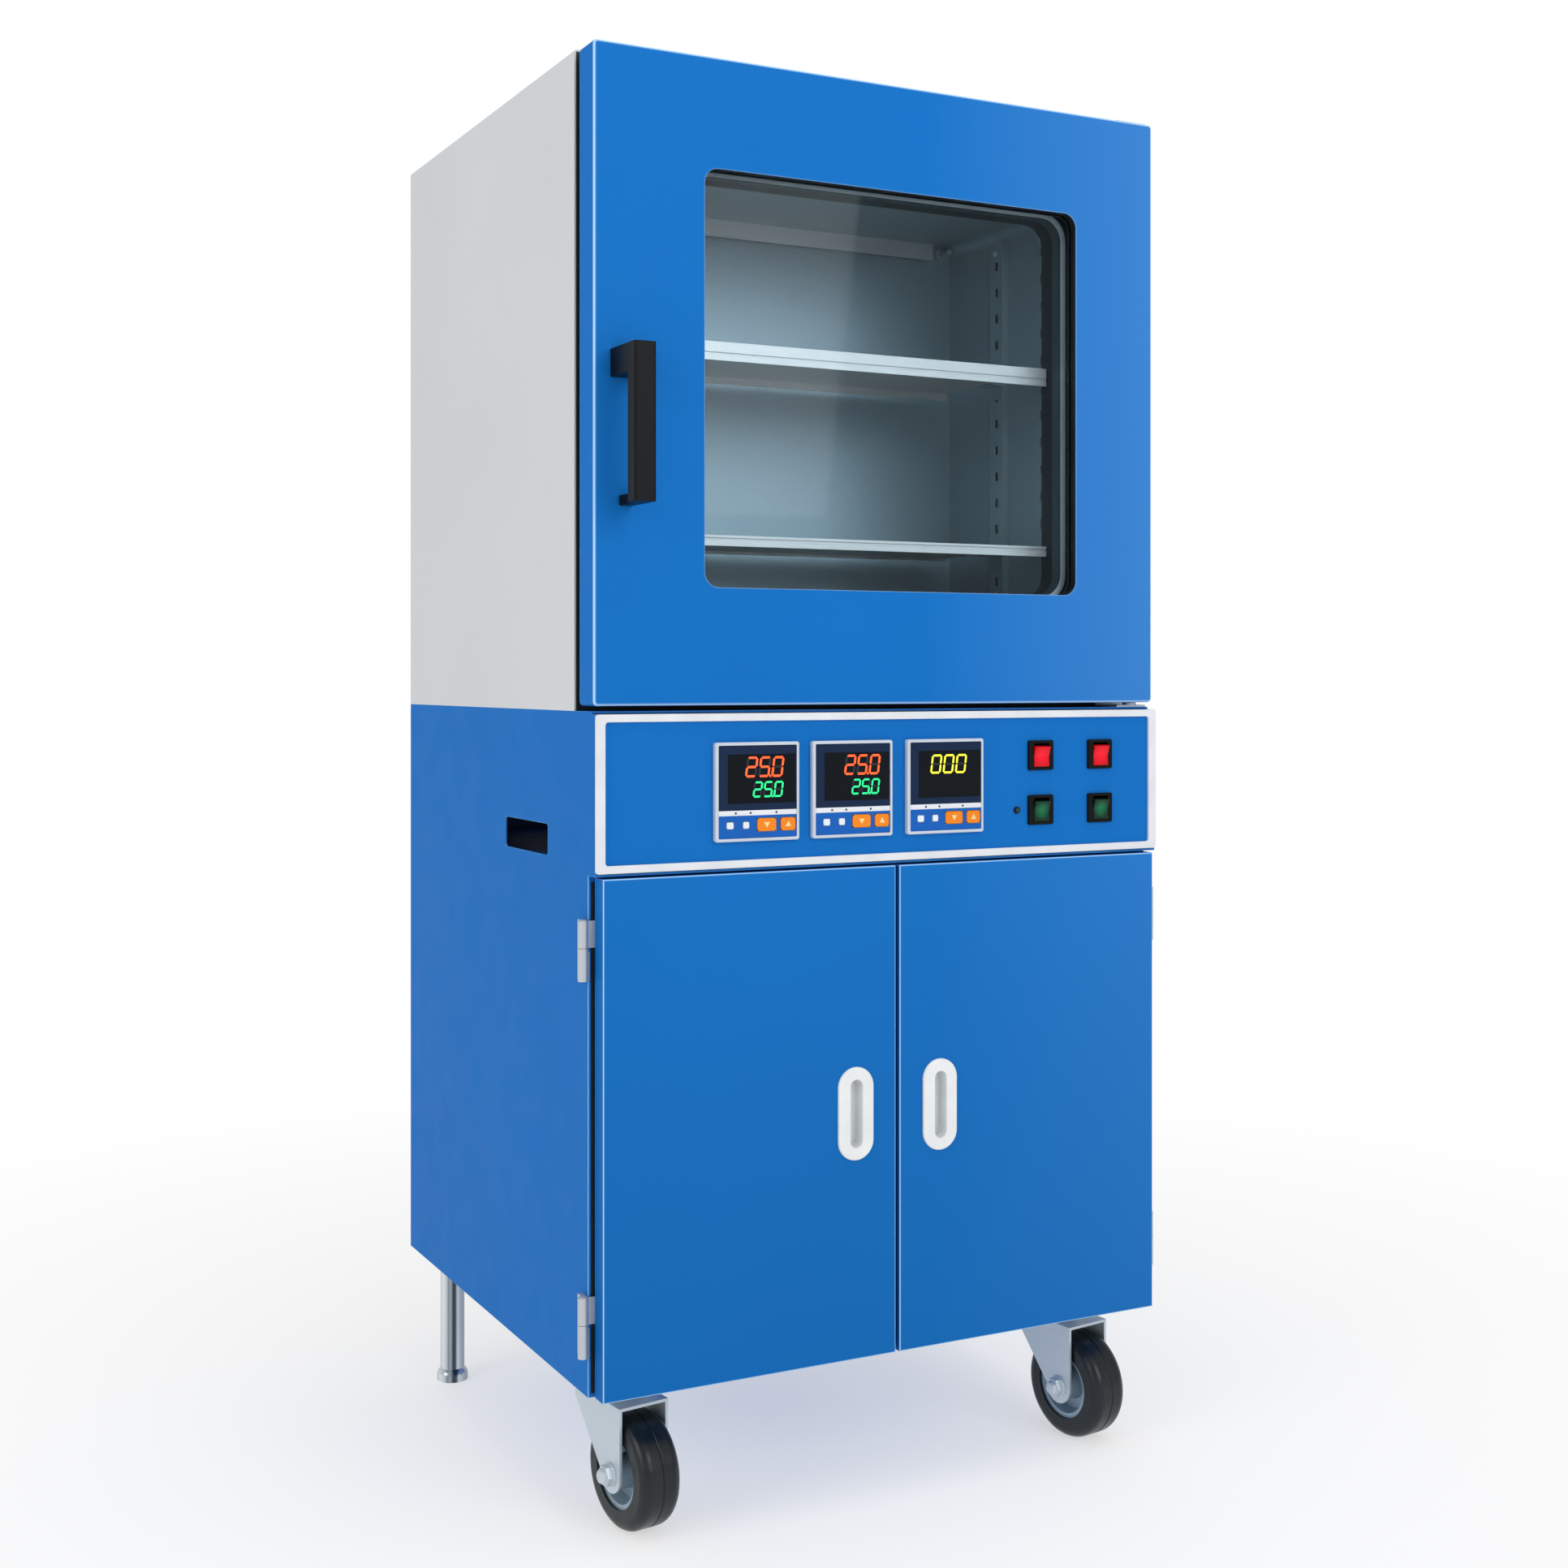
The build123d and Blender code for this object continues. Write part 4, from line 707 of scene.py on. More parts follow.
# Chrome legs with a painted reflection in stripes.
CHROME = PlatedSteel(
    "leg_chrome", paint(214, 220, 226), 0.14, 90.0, 0.6,
    (
        (0.0, paint(150, 158, 164)), (0.14, paint(226, 231, 235)), (0.3, paint(205, 212, 217)),
        (0.42, paint(128, 139, 146)), (0.5, paint(168, 177, 184)), (0.6, paint(56, 68, 75)),
        (0.7, paint(70, 82, 89)), (0.78, paint(222, 228, 232)), (1.0, paint(150, 160, 167)),
    ),
)
HUB_METAL = PlatedSteel("hub_grey", paint(150, 170, 184), 0.42, 260.0, 0.35)
BRASS = SheetMetal("valve_brass", paint(196, 162, 90), (60.0, 1.0, 60.0), 0.3, 0.9)
TYRE_BLACK = Elastomer("tyre_black", paint(17, 24, 28), paint(27, 35, 40), 0.36)
# Seal silicone painted dark teal: painted shade for its inner face.
SEAL_PAINTED_SHADE = Elastomer("seal_painted_shade", paint(48, 64, 70), paint(60, 76, 82), 0.55)
# Pale ring on the seal's front: painted light for its lit front face.
SEAL_PAINTED_LIGHT = Elastomer("seal_painted_light", paint(182, 190, 194), paint(200, 206, 209), 0.5)
# Black rubber of the glazing gasket, also used for the dark sheets and strips of painted shade.
GASKET_AND_SHADE_BLACK = Elastomer("gasket_and_shade_black", paint(10, 14, 17), paint(24, 30, 34), 0.6)
THICK_GLASS = ClearGlass("thick_glass", paint(240, 245, 248))
PANE_GLASS = ClearGlass("pane_glass", paint(242, 247, 250))
WOOL = MineralWool("glass_wool", paint(222, 212, 176))
# Lenses with a glowing painted highlight at the front of each switch and lamp.
LAMP_LENS = GlowingLens(
    "lamp_dark", paint(6, 12, 18), paint(40, 70, 84), (front_of("indicator_lamp"),), 3.0, 0.05
)
ROCKER_RED = GlowingLens(
    "rocker_red", paint(178, 2, 14), paint(236, 16, 44),
    tuple(front_of(node) for node in SWITCH_NODES["red"]), 12.0, 0.3,
)
ROCKER_GREEN = GlowingLens(
    "rocker_green", paint(2, 40, 26), paint(0, 118, 72),
    tuple(front_of(node) for node in SWITCH_NODES["green"]), 10.0, 0.12,
)

NODE_FINISHES: dict[Finish, tuple[str, ...]] = {
    CABINET_BLUE: ("cabinet_shell", "control_panel"),
    DOOR_BLUE: ("door_shell",),
    LEAF_BLUE: ("left_door", "right_door"),
    CASING_GREY: ("upper_casing",),
    REAR_GREY: ("rear_cover", "cabinet_back"),
    TRIM_WHITE: ("fascia_frame",),
    CASE_GREY: ("controller_cases",),
    LENS_BLACK: ("display_windows",),
    SWITCH_BLACK: ("switch_housings", "mains_inlet"),
    LAMP_LENS: ("indicator_lamp",),
    FRAME_DARK: ("front_frame", "door_frame"),
    STAINLESS: ("chamber", "shelf_supports", "temperature_probe"),
    SHELF_STEEL: ("shelves", "gas_baffle"),
    HEATER_PLATE: ("heater_mats",),
    SEAL_PAINTED_SHADE: ("door_seal",),
    GASKET_AND_SHADE_BLACK: ("glazing_gasket",),
    THICK_GLASS: ("door_glass",),
    PANE_GLASS: ("outer_pane",),
    WOOL: ("insulation",),
    BRASS: ("vacuum_line", "vent_line"),
    HANDLE_BLACK: ("door_handle",),
    PULL_WHITE: ("left_pull", "right_pull"),
    HINGE_METAL: ("cabinet_hinge_posts", "left_hinge_knuckles", "right_hinge_knuckles"),
    ZINC: ("main_hinge_brackets", "caster_plates", "left_fork", "right_fork"),
    CHROME: ("rear_legs",),
    HUB_METAL: ("left_hub", "right_hub"),
    TYRE_BLACK: ("left_tyre", "right_tyre"),
    KEY_WHITE: tuple(f"key_{n}_{key}" for n in (1, 2, 3) for key in ("set", "shift")),
    KEY_ORANGE: tuple(f"key_{n}_{key}" for n in (1, 2, 3) for key in ("down", "up")),
    ROCKER_RED: SWITCH_NODES["red"],
    ROCKER_GREEN: SWITCH_NODES["green"],
}


class Workshop:
    """Builds each finish once and turns bmeshes into finished pieces."""

    def __init__(self) -> None:
        """Start with no materials built."""
        self.built: dict[Finish, bpy.types.Material] = {}

    def material(self, finish: Finish) -> bpy.types.Material:
        """Return the finish's material, built on first use."""
        if finish not in self.built:
            self.built[finish] = finish.build()
        return self.built[finish]

    def dress(self, node: str, finish: Finish) -> None:
        """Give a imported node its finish.

        Args:
            node: Name of the node.
            finish: The finish that it takes.
        """
        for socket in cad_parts[node].material_slots:
            socket.material = self.material(finish)
        log.info("dressed %s with %s", node, finish.name)

    def piece(
        self, name: str, shape: Shape, finish: Finish, slot: str, body: str = "oven"
    ) -> bpy.types.Object:
        """Turn a bmesh in millimetres into a finished piece that rides on a body.

        Args:
            name: Name of the piece.
            shape: The bmesh, which is used up.
            finish: The finish that the piece takes.
            slot: The record's material slot; not used.
            body: The body that the piece rides on.

        Returns:
            The new object.
        """
        bmesh.ops.remove_doubles(shape, verts=shape.verts[:], dist=MERGE_DISTANCE)
        bmesh.ops.recalc_face_normals(shape, faces=shape.faces[:])
        bmesh.ops.scale(shape, vec=(MM, MM, MM), verts=shape.verts[:])
        mesh = bpy.data.meshes.new(name)
        shape.to_mesh(mesh)
        shape.free()
        mesh.materials.append(self.material(finish))
        mesh.shade_smooth()
        mesh.set_sharp_from_angle(angle=SHARP_ANGLE)
        item = bpy.data.objects.new(name, mesh)
        bpy.context.scene.collection.objects.link(item)
        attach(item, body)
        log.info("built %s: %d faces on %s", name, len(mesh.polygons), body)
        return item


def pour(shape: Shape, part: Shape) -> None:
    """Move everything of the second bmesh into the first and free the second."""
    mesh = bpy.data.meshes.new("part")
    part.to_mesh(mesh)
    part.free()
    shape.from_mesh(mesh)
    bpy.data.meshes.remove(mesh)


def thicken(shape: Shape, faces: list[bmesh.types.BMFace], depth: float) -> None:
    """Extrude upright faces towards the front.

    Args:
        shape: The bmesh that holds the faces.
        faces: The faces.
        depth: Thickness that they get.
    """
    made = bmesh.ops.extrude_face_region(shape, geom=faces)
    raised = [item for item in made["geom"] if isinstance(item, bmesh.types.BMVert)]
    bmesh.ops.translate(shape, vec=(0, -depth, 0), verts=raised)


def closed_loop(shape: Shape, points: Sequence[Vector | Point]) -> list[bmesh.types.BMEdge]:
    """Add a closed loop of edges through the points and return the edges."""
    verts = [shape.verts.new(point) for point in points]
    return [shape.edges.new(pair) for pair in zip(verts, verts[1:] + verts[:1])]


def edges_of(made: dict[str, list]) -> list[bmesh.types.BMEdge]:
    """Return the edges at the vertices that an operator made."""
    return list({edge for vert in made["verts"] for edge in vert.link_edges})


def add_block(shape: Shape, centre: Point, size: Point, bevel: float = 0.0) -> None:
    """Add a box with bevelled edges.

    Args:
        shape: The bmesh to add to.
        centre: Middle of the box.
        size: Full length along each axis.
        bevel: Width of the bevel.
    """
    place = Matrix.Translation(centre) @ Matrix.Diagonal((*size, 1.0))
    made = bmesh.ops.create_cube(shape, size=1.0, matrix=place)
    if bevel:
        bmesh.ops.bevel(
            shape, geom=edges_of(made), offset=bevel, segments=2, profile=0.5,
            affect="EDGES", material=-1,
        )


def add_turned(
    shape: Shape, centre: Point, facing: Facing, profile: Sequence[Flat], steps: int
) -> None:
    """Add a turned solid from its half profile.

    Args:
        shape: The bmesh to add to.
        centre: Where the profile's origin goes.
        facing: The way that the profile's height points.
        profile: Points of (radius, height), open ends on the axis or closed as a ring.
        steps: Sides of the turned shape.
    """
    turned = bmesh.new()
    verts = [turned.verts.new((radius, 0.0, height)) for radius, height in profile]
    edges = [turned.edges.new(pair) for pair in zip(verts, verts[1:])]
    bmesh.ops.spin(
        turned, geom=verts + edges, cent=(0, 0, 0), axis=(0, 0, 1), angle=math.tau,
        steps=steps, use_merge=True,
    )
    bmesh.ops.remove_doubles(turned, verts=turned.verts[:], dist=MERGE_DISTANCE)
    bmesh.ops.transform(
        turned, matrix=Matrix.Translation(centre) @ facing.turn(), verts=turned.verts[:]
    )
    pour(shape, turned)


def add_screw(shape: Shape, centre: Point, facing: Facing, radius: float, height: float) -> None:
    """Add a pan-head screw with a cross recess.

    Args:
        shape: The bmesh to add to.
        centre: Middle of the seat under the head.
        facing: The way that the head faces.
        radius: Radius of the head.
        height: Height of the head.
    """
    place = Matrix.Translation(centre) @ facing.turn()
    rim: list[bmesh.types.BMEdge] = []
    for share, level in PAN_HEAD:
        loop = edges_of(bmesh.ops.create_circle(
            shape, segments=24, radius=radius * share,
            matrix=place @ Matrix.Translation((0, 0, height * level)),
        ))
        if rim:
            bmesh.ops.bridge_loops(shape, edges=rim + loop)
        rim = loop
    reach = radius * 0.5
    arm = reach * 0.24
    outline = [
        Matrix.Rotation(turn * math.pi / 2, 2) @ Vector(point)
        for turn in range(4) for point in ((reach, arm), (arm, arm), (arm, reach))
    ]
    top, floor = (
        closed_loop(shape, [place @ Vector((spot.x, spot.y, height * level)) for spot in outline])
        for level in (1.0, 0.45)
    )
    bmesh.ops.bridge_loops(shape, edges=rim + top)
    bmesh.ops.bridge_loops(shape, edges=top + floor)
    bmesh.ops.edgeloop_fill(shape, edges=floor)


def add_hex(
    shape: Shape, centre: Point, facing: Facing, flats: float, height: float, dome: float = 0.0
) -> None:
    """Add a hexagon head or nut with a chamfered top, and a dome if it is a cap nut.

    Args:
        shape: The bmesh to add to.
        centre: Middle of the seat.
        facing: The way that the head faces.
        flats: Width across flats.
        height: Height of the hexagon.
        dome: Height of the dome on top, or 0.
    """
    place = Matrix.Translation(centre) @ facing.turn()
    radius = flats / math.sqrt(3)
    made = bmesh.ops.create_cone(
        shape, cap_ends=True, segments=6, radius1=radius, radius2=radius, depth=height,
        matrix=place @ Matrix.Translation((0, 0, height / 2)),
    )
    top = [
        edge for edge in edges_of(made)
        if all((place.inverted() @ vert.co).z > height * 0.9 for vert in edge.verts)
    ]
    bmesh.ops.bevel(
        shape, geom=top, offset=height * 0.14, segments=2, profile=0.5, affect="EDGES", material=-1
    )
    if dome:
        profile = [(flats * 0.42, -0.2)] + [(flats * wide, dome * up) for wide, up in DOME]
        add_turned(shape, tuple(place @ Vector((0, 0, height))), facing, profile, 24)


def add_plate(
    shape: Shape, box: Edges, holes: Sequence[Edges], back_y: float, thick: float
) -> None:
    """Add an upright plate with square cut-outs, facing the front.

    Args:
        shape: The bmesh to add to.
        box: Left, right, low and high edges of the plate.
        holes: Left, right, low and high edges of each cut-out.
        back_y: Depth of the plate's back face.
        thick: Thickness towards the front.
    """
    left, right, low, high = box
    plate = bmesh.new()
    plate.faces.new([
        plate.verts.new((x, back_y, z))
        for x, z in ((left, low), (right, low), (right, high), (left, high))
    ])
    for hole in holes:
        cuts = [((x, back_y, 0), (1, 0, 0)) for x in hole[:2]]
        cuts += [((0, back_y, z), (0, 0, 1)) for z in hole[2:]]
        for spot, normal in cuts:
            bmesh.ops.bisect_plane(
                plate, geom=plate.verts[:] + plate.edges[:] + plate.faces[:],
                plane_co=spot, plane_no=normal, dist=1e-5,
            )
    gone = [
        face for face in plate.faces for spot in [face.calc_center_median()]
        if any(hole[0] < spot.x < hole[1] and hole[2] < spot.z < hole[3] for hole in holes)
    ]
    bmesh.ops.delete(plate, geom=gone, context="FACES")
    thicken(plate, plate.faces[:], thick)
    bmesh.ops.recalc_face_normals(plate, faces=plate.faces[:])
    pour(shape, plate)


def rounded_outline(box: Edges, radius: float, steps: int = 8) -> list[Flat]:
    """Return the points of a rectangle with round corners.

    Args:
        box: Left, right, low and high edges.
        radius: Radius of the corners.
        steps: Segments of each corner.

    Returns:
        Points of (x, z), anticlockwise.
    """
    left, right, low, high = box
    left, right, low, high = left + radius, right - radius, low + radius, high - radius
    points = []
    for turn, (x, z) in enumerate(((right, high), (left, high), (left, low), (right, low))):
        for step in range(steps + 1):
            angle = (turn + step / steps) * math.pi / 2
            points.append((x + radius * math.cos(angle), z + radius * math.sin(angle)))
    return points


@dataclass
class Readout:
    """One row of seven-segment digits.

    Attributes:
        text: Digits and points to show.
        left: Left end of the row from the controller's middle.
        low: Bottom of the digits from the controller's middle.
        width: Width of the row.
        height: Height of the digits.
        finish: Colour of the lit segments.
        stroke: Width of a segment.
        slant: Lean to the right, as a share of the height.
        gap: Space at each end of a segment.
        raised: Height of a segment over the lens.
    """

    text: str
    left: float
    low: float
    width: float
    height: float
    finish: Finish
    stroke: float
    slant: float = 0.13
    gap: float = 0.25
    raised: float = 0.12

    def segment(self, shape: Shape, start: Flat, end: Flat, place: Matrix) -> None:
        """Add one pointed segment.

        Args:
            shape: The bmesh to add to.
            start: First end on the digit's sheet.
            end: Other end on the digit's sheet.
            place: Matrix from the sheet to the oven.
        """
        half = self.stroke / 2
        along = Vector((end[0] - start[0], 0, end[1] - start[1])).normalized()
        across = Vector((-along.z, 0, along.x)) * half
        first = Vector((start[0], 0, start[1])) + along * self.gap
        last = Vector((end[0], 0, end[1])) - along * self.gap
        outline = [
            first, first + along * half + across, last - along * half + across,
            last, last - along * half - across, first + along * half - across,
        ]
        face = shape.faces.new([shape.verts.new(place @ point) for point in outline])
        thicken(shape, [face], self.raised)

    def build(self, lit: Shape, dim: Shape, centre: Flat, face_y: float) -> None:
        """Add the row's lit and unlit segments.

        Args:
            lit: Bmesh of the lit segments.
            dim: Bmesh of the unlit ones.
            centre: X and Z of the controller's middle.
            face_y: Depth of the lens face.
        """
        pitch = self.width / (len(self.text.replace(".", "")) - 0.16)
        wide, tall, half = pitch * 0.70, self.height, self.height / 2
        lean = Matrix.Identity(4)
        lean[0][2] = self.slant
        ends = {
            "a": ((0, tall), (wide, tall)), "b": ((wide, tall), (wide, half)),
            "c": ((wide, half), (wide, 0)), "d": ((0, 0), (wide, 0)),
            "e": ((0, half), (0, 0)), "f": ((0, tall), (0, half)),
            "g": ((0, half), (wide, half)),
        }
        column = 0
        for char in self.text:
            x = centre[0] + self.left + column * pitch
            place = Matrix.Translation((x, face_y, centre[1] + self.low)) @ lean
            if char == ".":
                spot = place @ Vector((-pitch * 0.15, 0, 0))
                add_block(
                    lit, (spot.x, face_y - self.raised / 2, spot.z), (2.0, self.raised, 2.0)
                )
                continue
            for name, (start, end) in ends.items():
                self.segment(lit if name in SEGMENTS_OF[char] else dim, start, end, place)
            column += 1


@dataclass
class Detail:
    """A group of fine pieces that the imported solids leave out.

    Attributes:
        shop: The workshop that finishes the pieces.
    """

    shop: Workshop

    def build(self) -> None:
        """Build the group's pieces."""
        raise NotImplementedError


@dataclass
class ControllerFaces(Detail):
    """Printed and moulded faces of the three panel controllers.

    Attributes:
        recess: Depth of the face behind the border's front.
        border: Width of the border round the face.
        thick: Thickness of the face plates.
        surround_low: Bottom of the surround from the controller's middle.
        strip_high: Top of the key strip from the controller's middle.
        divider_z: Middle of the divider from the controller's middle.
        proud: Gap that keeps two faces apart.
        cover: How far the surround covers the lens.
        keys: Offset, width and height of each key.
        lens: Left, right, low and high edges of the lens from the middle.
        dots: Offsets of the three small lamps.
        arrow: Half width, foot and tip of an arrow.
        rows: Rows of digits of each controller.
    """

    recess: float = 1.2
    border: float = 3.1
    thick: float = 0.5
    surround_low: float = -18.0
    strip_high: float = -23.0
    divider_z: float = -20.5
    proud: float = 0.02
    cover: float = 0.6
    keys: tuple[Point, ...] = (
        (-30.0, 8.2, 7.4), (-12.8, 7.4, 7.4), (9.6, 21.4, 13.5), (32.9, 16.9, 13.5),
    )
    lens: Edges = (-33.1, 41.5, -12.0, 36.9)
    dots: Point = (-24.0, -8.0, 20.0)
    arrow: Point = (3.2, 2.4, 3.0)
    rows: tuple[tuple[Readout, ...], ...] = field(default_factory=lambda: (
        (Readout("25.0", -12.6, 14.9, 40.5, 18.0, DIGIT_RED, 2.2),
         Readout("25.0", -4.6, -4.9, 32.0, 13.8, DIGIT_GREEN, 1.8)),
        (Readout("25.0", -9.0, 14.9, 39.6, 18.0, DIGIT_RED, 2.2),
         Readout("25.0", -0.9, -4.9, 31.0, 13.8, DIGIT_GREEN, 1.8)),
        (Readout("000", -17.5, 13.8, 42.0, 17.5, DIGIT_YELLOW, 2.0),),
    ))

    def build(self) -> None:
        """Build the face plates, digits, marks and lamps of all three."""
        surround, strip, divider = bmesh.new(), bmesh.new(), bmesh.new()
        dim, dots = bmesh.new(), bmesh.new()
        lit: dict[Finish, Shape] = {}
        lens_front = corners("display_windows")[0].y + self.proud
        case_low, case_high = corners("controller_cases")
        z = (case_low.z + case_high.z) / 2
        face_y = case_low.y + self.recess
        key_z = middle("key_1_up").z
        half_tall = (case_high.z - case_low.z) / 2 - self.border
        centres_x = [middle(f"key_{number}_set").x - self.keys[0][0] for number in (1, 2, 3)]
        half = centres_x[0] - case_low.x - self.border
        left, right, low, high = self.lens
        window = (left + self.cover, right - self.cover, low + self.cover, high - self.cover)
        for x, rows in zip(centres_x, self.rows):
            opening = (x + window[0], x + window[1], z + window[2], z + window[3])
            outer = (x - half, x + half, z + self.surround_low, z + half_tall)
            add_plate(surround, outer, [opening], face_y + self.proud, self.thick)
            holes = [
                (x + offset - wide / 2, x + offset + wide / 2, key_z - tall / 2, key_z + tall / 2)
                for offset, wide, tall in self.keys
            ]
            outer = (x - half, x + half, z - half_tall, z + self.strip_high)
            add_plate(strip, outer, holes, face_y + self.proud, self.thick)
            line_z = z + self.divider_z
            add_block(divider, (x, face_y - 0.35, line_z), (2 * half, 0.8, 5.0), 0.3)
            for offset in self.dots:
                spot = (x + offset, face_y - 0.75, line_z)
                add_turned(dots, spot, Facing.FRONT, DOT_PROFILE, 16)
            for row in rows:
                row.build(lit.setdefault(row.finish, bmesh.new()), dim, (x, z), lens_front)
        self.shop.piece("controller_surrounds", surround, BEZEL_NAVY, "controller_body")
        self.shop.piece("controller_key_strips", strip, STRIP_BLUE, "controller_body")
        self.shop.piece("controller_dividers", divider, STRIP_WHITE, "controller_body")
        self.shop.piece("controller_dots", dots, MARK_DARK, "controller_body")
        self.shop.piece("digits_unlit", dim, DIGIT_DIM, "display_lens")
        for finish, shape in lit.items():
            self.shop.piece(finish.name.replace("digit", "digits"), shape, finish, "display_lens")
        self.arrows(centres_x)

    def arrows(self, centres_x: Sequence[float]) -> None:
        """Build each orange key's own arrow, which moves with the key.

        Args:
            centres_x: Middle of each controller.
        """
        wide, foot, tip = self.arrow
        front, key_z = corners("key_1_up")[0].y + self.proud, middle("key_1_up").z
        for number, x in enumerate(centres_x, 1):
            for key, (offset, _, _), sign in (("down", self.keys[2], -1), ("up", self.keys[3], 1)):
                shape = bmesh.new()
                outline = [(-wide, -foot * sign), (wide, -foot * sign), (0.0, tip * sign)]
                face = shape.faces.new([
                    shape.verts.new((x + offset + px, front, key_z + pz)) for px, pz in outline
                ])
                thicken(shape, [face], 0.1)
                name = f"key_{number}_{key}"
                self.shop.piece(f"{name}_arrow", shape, MARK_PALE, "orange_key", f"{name}_cap")


@dataclass
class InletScrews(Detail):
    """Screws of the mains inlet.

    Attributes:
        reach: Distance of the screws from the inlet's middle.
    """

    reach: float = 24.0

    def build(self) -> None:
        """Build both screws."""
        screws = bmesh.new()
        inlet = middle("mains_inlet")
        outer_y = corners("mains_inlet")[1].y
        for side in (-self.reach, self.reach):
            add_screw(screws, (inlet.x + side, outer_y, inlet.z), Facing.REAR, 2.9, 1.6)
        self.shop.piece("inlet_screws", screws, ZINC, "plated_steel")


@dataclass
class RearScrews(Detail):
    """Screws that hold the two rear panels.

    Attributes:
        inset: Distance of the screws from the panels' edges.
        count: Screws along each edge.
    """

    inset: float = 13.0
    count: int = 5

    def build(self) -> None:
        """Build the screws with their washers."""
        screws = bmesh.new()
        ends = (0, self.count - 1)
        for panel in ("rear_cover", "cabinet_back"):
            low, high = corners(panel)
            for column, x in enumerate(spaced(low.x, high.x, self.inset, self.count)):
                for row, z in enumerate(spaced(low.z, high.z, self.inset, self.count)):
                    if column in ends or row in ends:
                        add_turned(screws, (x, high.y, z), Facing.REAR, REAR_WASHER, 24)
                        seat_y = high.y + REAR_WASHER[-1][1]
                        add_screw(screws, (x, seat_y, z), Facing.REAR, 3.8, 2.2)
        self.shop.piece("rear_screws", screws, ZINC, "plated_steel")


@dataclass
class ChamberDetail(Detail):
    """Weld seams, dark sheets of painted shade in the slots and fixings inside the chamber, and a
    pale ring of painted light on its seal.

    Attributes:
        seam_y: Depth of the side walls' weld seam.
        margin: Distance of the upright screws from the uprights' ends.
        screw_insets: Distance of the screws from the supports' front and back.
        screw_seat: Distance of the screws' seats from the chamber's wall.
        lip: Width of the pale ring of painted light on the seal's front.
        lip_inset: Distance of the ring from the seal's outer edge.
        lip_radius: Radius of the ring's outer corners.
        slot: Width and height of an upright's slot.
        slot_pitch: Distance from slot to slot.
        slot_depth: Depth of a slot's sheet of painted shade from the chamber's wall.
        upright_half: Distance of an upright's middle from the supports' ends.
    """

    seam_y: float = -88.0
    margin: float = 12.0
    screw_insets: Flat = (17.0, 13.0)
    screw_seat: float = 8.0
    lip: float = 6.0
    lip_inset: float = 10.0
    lip_radius: float = 30.0
    slot: Flat = (6.4, 9.9)
    slot_pitch: float = 30.0
    slot_depth: float = 6.5
    upright_half: float = 15.0

    def build(self) -> None:
        """Build the seams, the screws of the uprights, the slots' sheets of painted shade and the
        seal's ring of painted light.
        """
        low, high = corners("shelf_supports")
        seams, screws = bmesh.new(), bmesh.new()
        mid_z = (low.z + high.z) / 2
        for x, sign, facing in ((low.x, 1, Facing.RIGHT), (high.x, -1, Facing.LEFT)):
            seam = (x + sign * 0.15, self.seam_y, mid_z)
            add_block(seams, seam, (0.7, 3.0, high.z - low.z), 0.3)
            for y in (low.y + self.screw_insets[0], high.y - self.screw_insets[1]):
                for z in (low.z + self.margin, high.z - self.margin):
                    add_screw(screws, (x + sign * self.screw_seat, y, z), facing, 3.2, 1.8)
        self.slot_painted_shade(low, high)
        self.shop.piece("wall_seams", seams, STAINLESS, "stainless")
        self.shop.piece("upright_screws", screws, ZINC, "plated_steel")
        self.seal_painted_light()

    def slot_painted_shade(self, low: Vector, high: Vector) -> None:
        """Build dark sheets of painted shade in the slots of the four uprights.

        Args:
            low: Lowest corner of the uprights.
            high: Highest corner of the uprights.
        """
        shades = bmesh.new()
        count = int((high.z - low.z) / self.slot_pitch)
        first_z = (low.z + high.z - self.slot_pitch * (count - 1)) / 2
        # Dark sheets of painted shade, one in each slot.
        for x in (low.x + self.slot_depth, high.x - self.slot_depth):
            for y in (low.y + self.upright_half, high.y - self.upright_half):
                for index in range(count):
                    spot = (x, y, first_z + index * self.slot_pitch)
                    add_block(shades, spot, (0.4, *self.slot))
        self.shop.piece("slot_painted_shade", shades, GASKET_AND_SHADE_BLACK, "dark_frame")

    def seal_painted_light(self) -> None:
        """Build the pale ring of painted light round the mouth, on the seal's front; the seal
        itself carries painted shade.
        """
        low, high = corners("door_seal")
        ring = bmesh.new()
        loops = []
        inner = (self.lip_inset + self.lip, self.lip_radius - self.lip)
        for inset, radius in ((self.lip_inset, self.lip_radius), inner):
            box = (low.x + inset, high.x - inset, low.z + inset, high.z - inset)
            for y in (low.y + 0.6, low.y - 0.2):
                outline = rounded_outline(box, radius)
                loops.append(closed_loop(ring, [(x, y, z) for x, z in outline]))
        outer_back, outer_front, inner_back, inner_front = loops
        around = (outer_back, outer_front, inner_front, inner_back, outer_back)
        for first, second in zip(around, around[1:]):
            bmesh.ops.bridge_loops(ring, edges=first + second)
        self.shop.piece("seal_painted_light", ring, SEAL_PAINTED_LIGHT, "seal_rubber")


@dataclass
class MainDoorScrews(Detail):
    """Screws of the glass frame.

    Attributes:
        inset: Distance of the screws from the frame's edges.
        along: Screws along the top and bottom.
        up: Screws up the left side.
    """

    inset: float = 22.0
    along: int = 4
    up: int = 5

    def build(self) -> None:
        """Build the screws."""
        screws = bmesh.new()
        low, high = corners("door_frame")
        levels = spaced(low.z, high.z, self.inset, self.up)
        spots = [
            (x, z) for x in spaced(low.x, high.x, self.inset, self.along)
            for z in (levels[0], levels[-1])
        ]
        for x, z in spots + [(low.x + self.inset, level) for level in levels[1:-1]]:
            add_screw(screws, (x, high.y, z), Facing.REAR, 3.6, 2.0)
        self.shop.piece("glass_frame_screws", screws, ZINC, "plated_steel", "main_door")


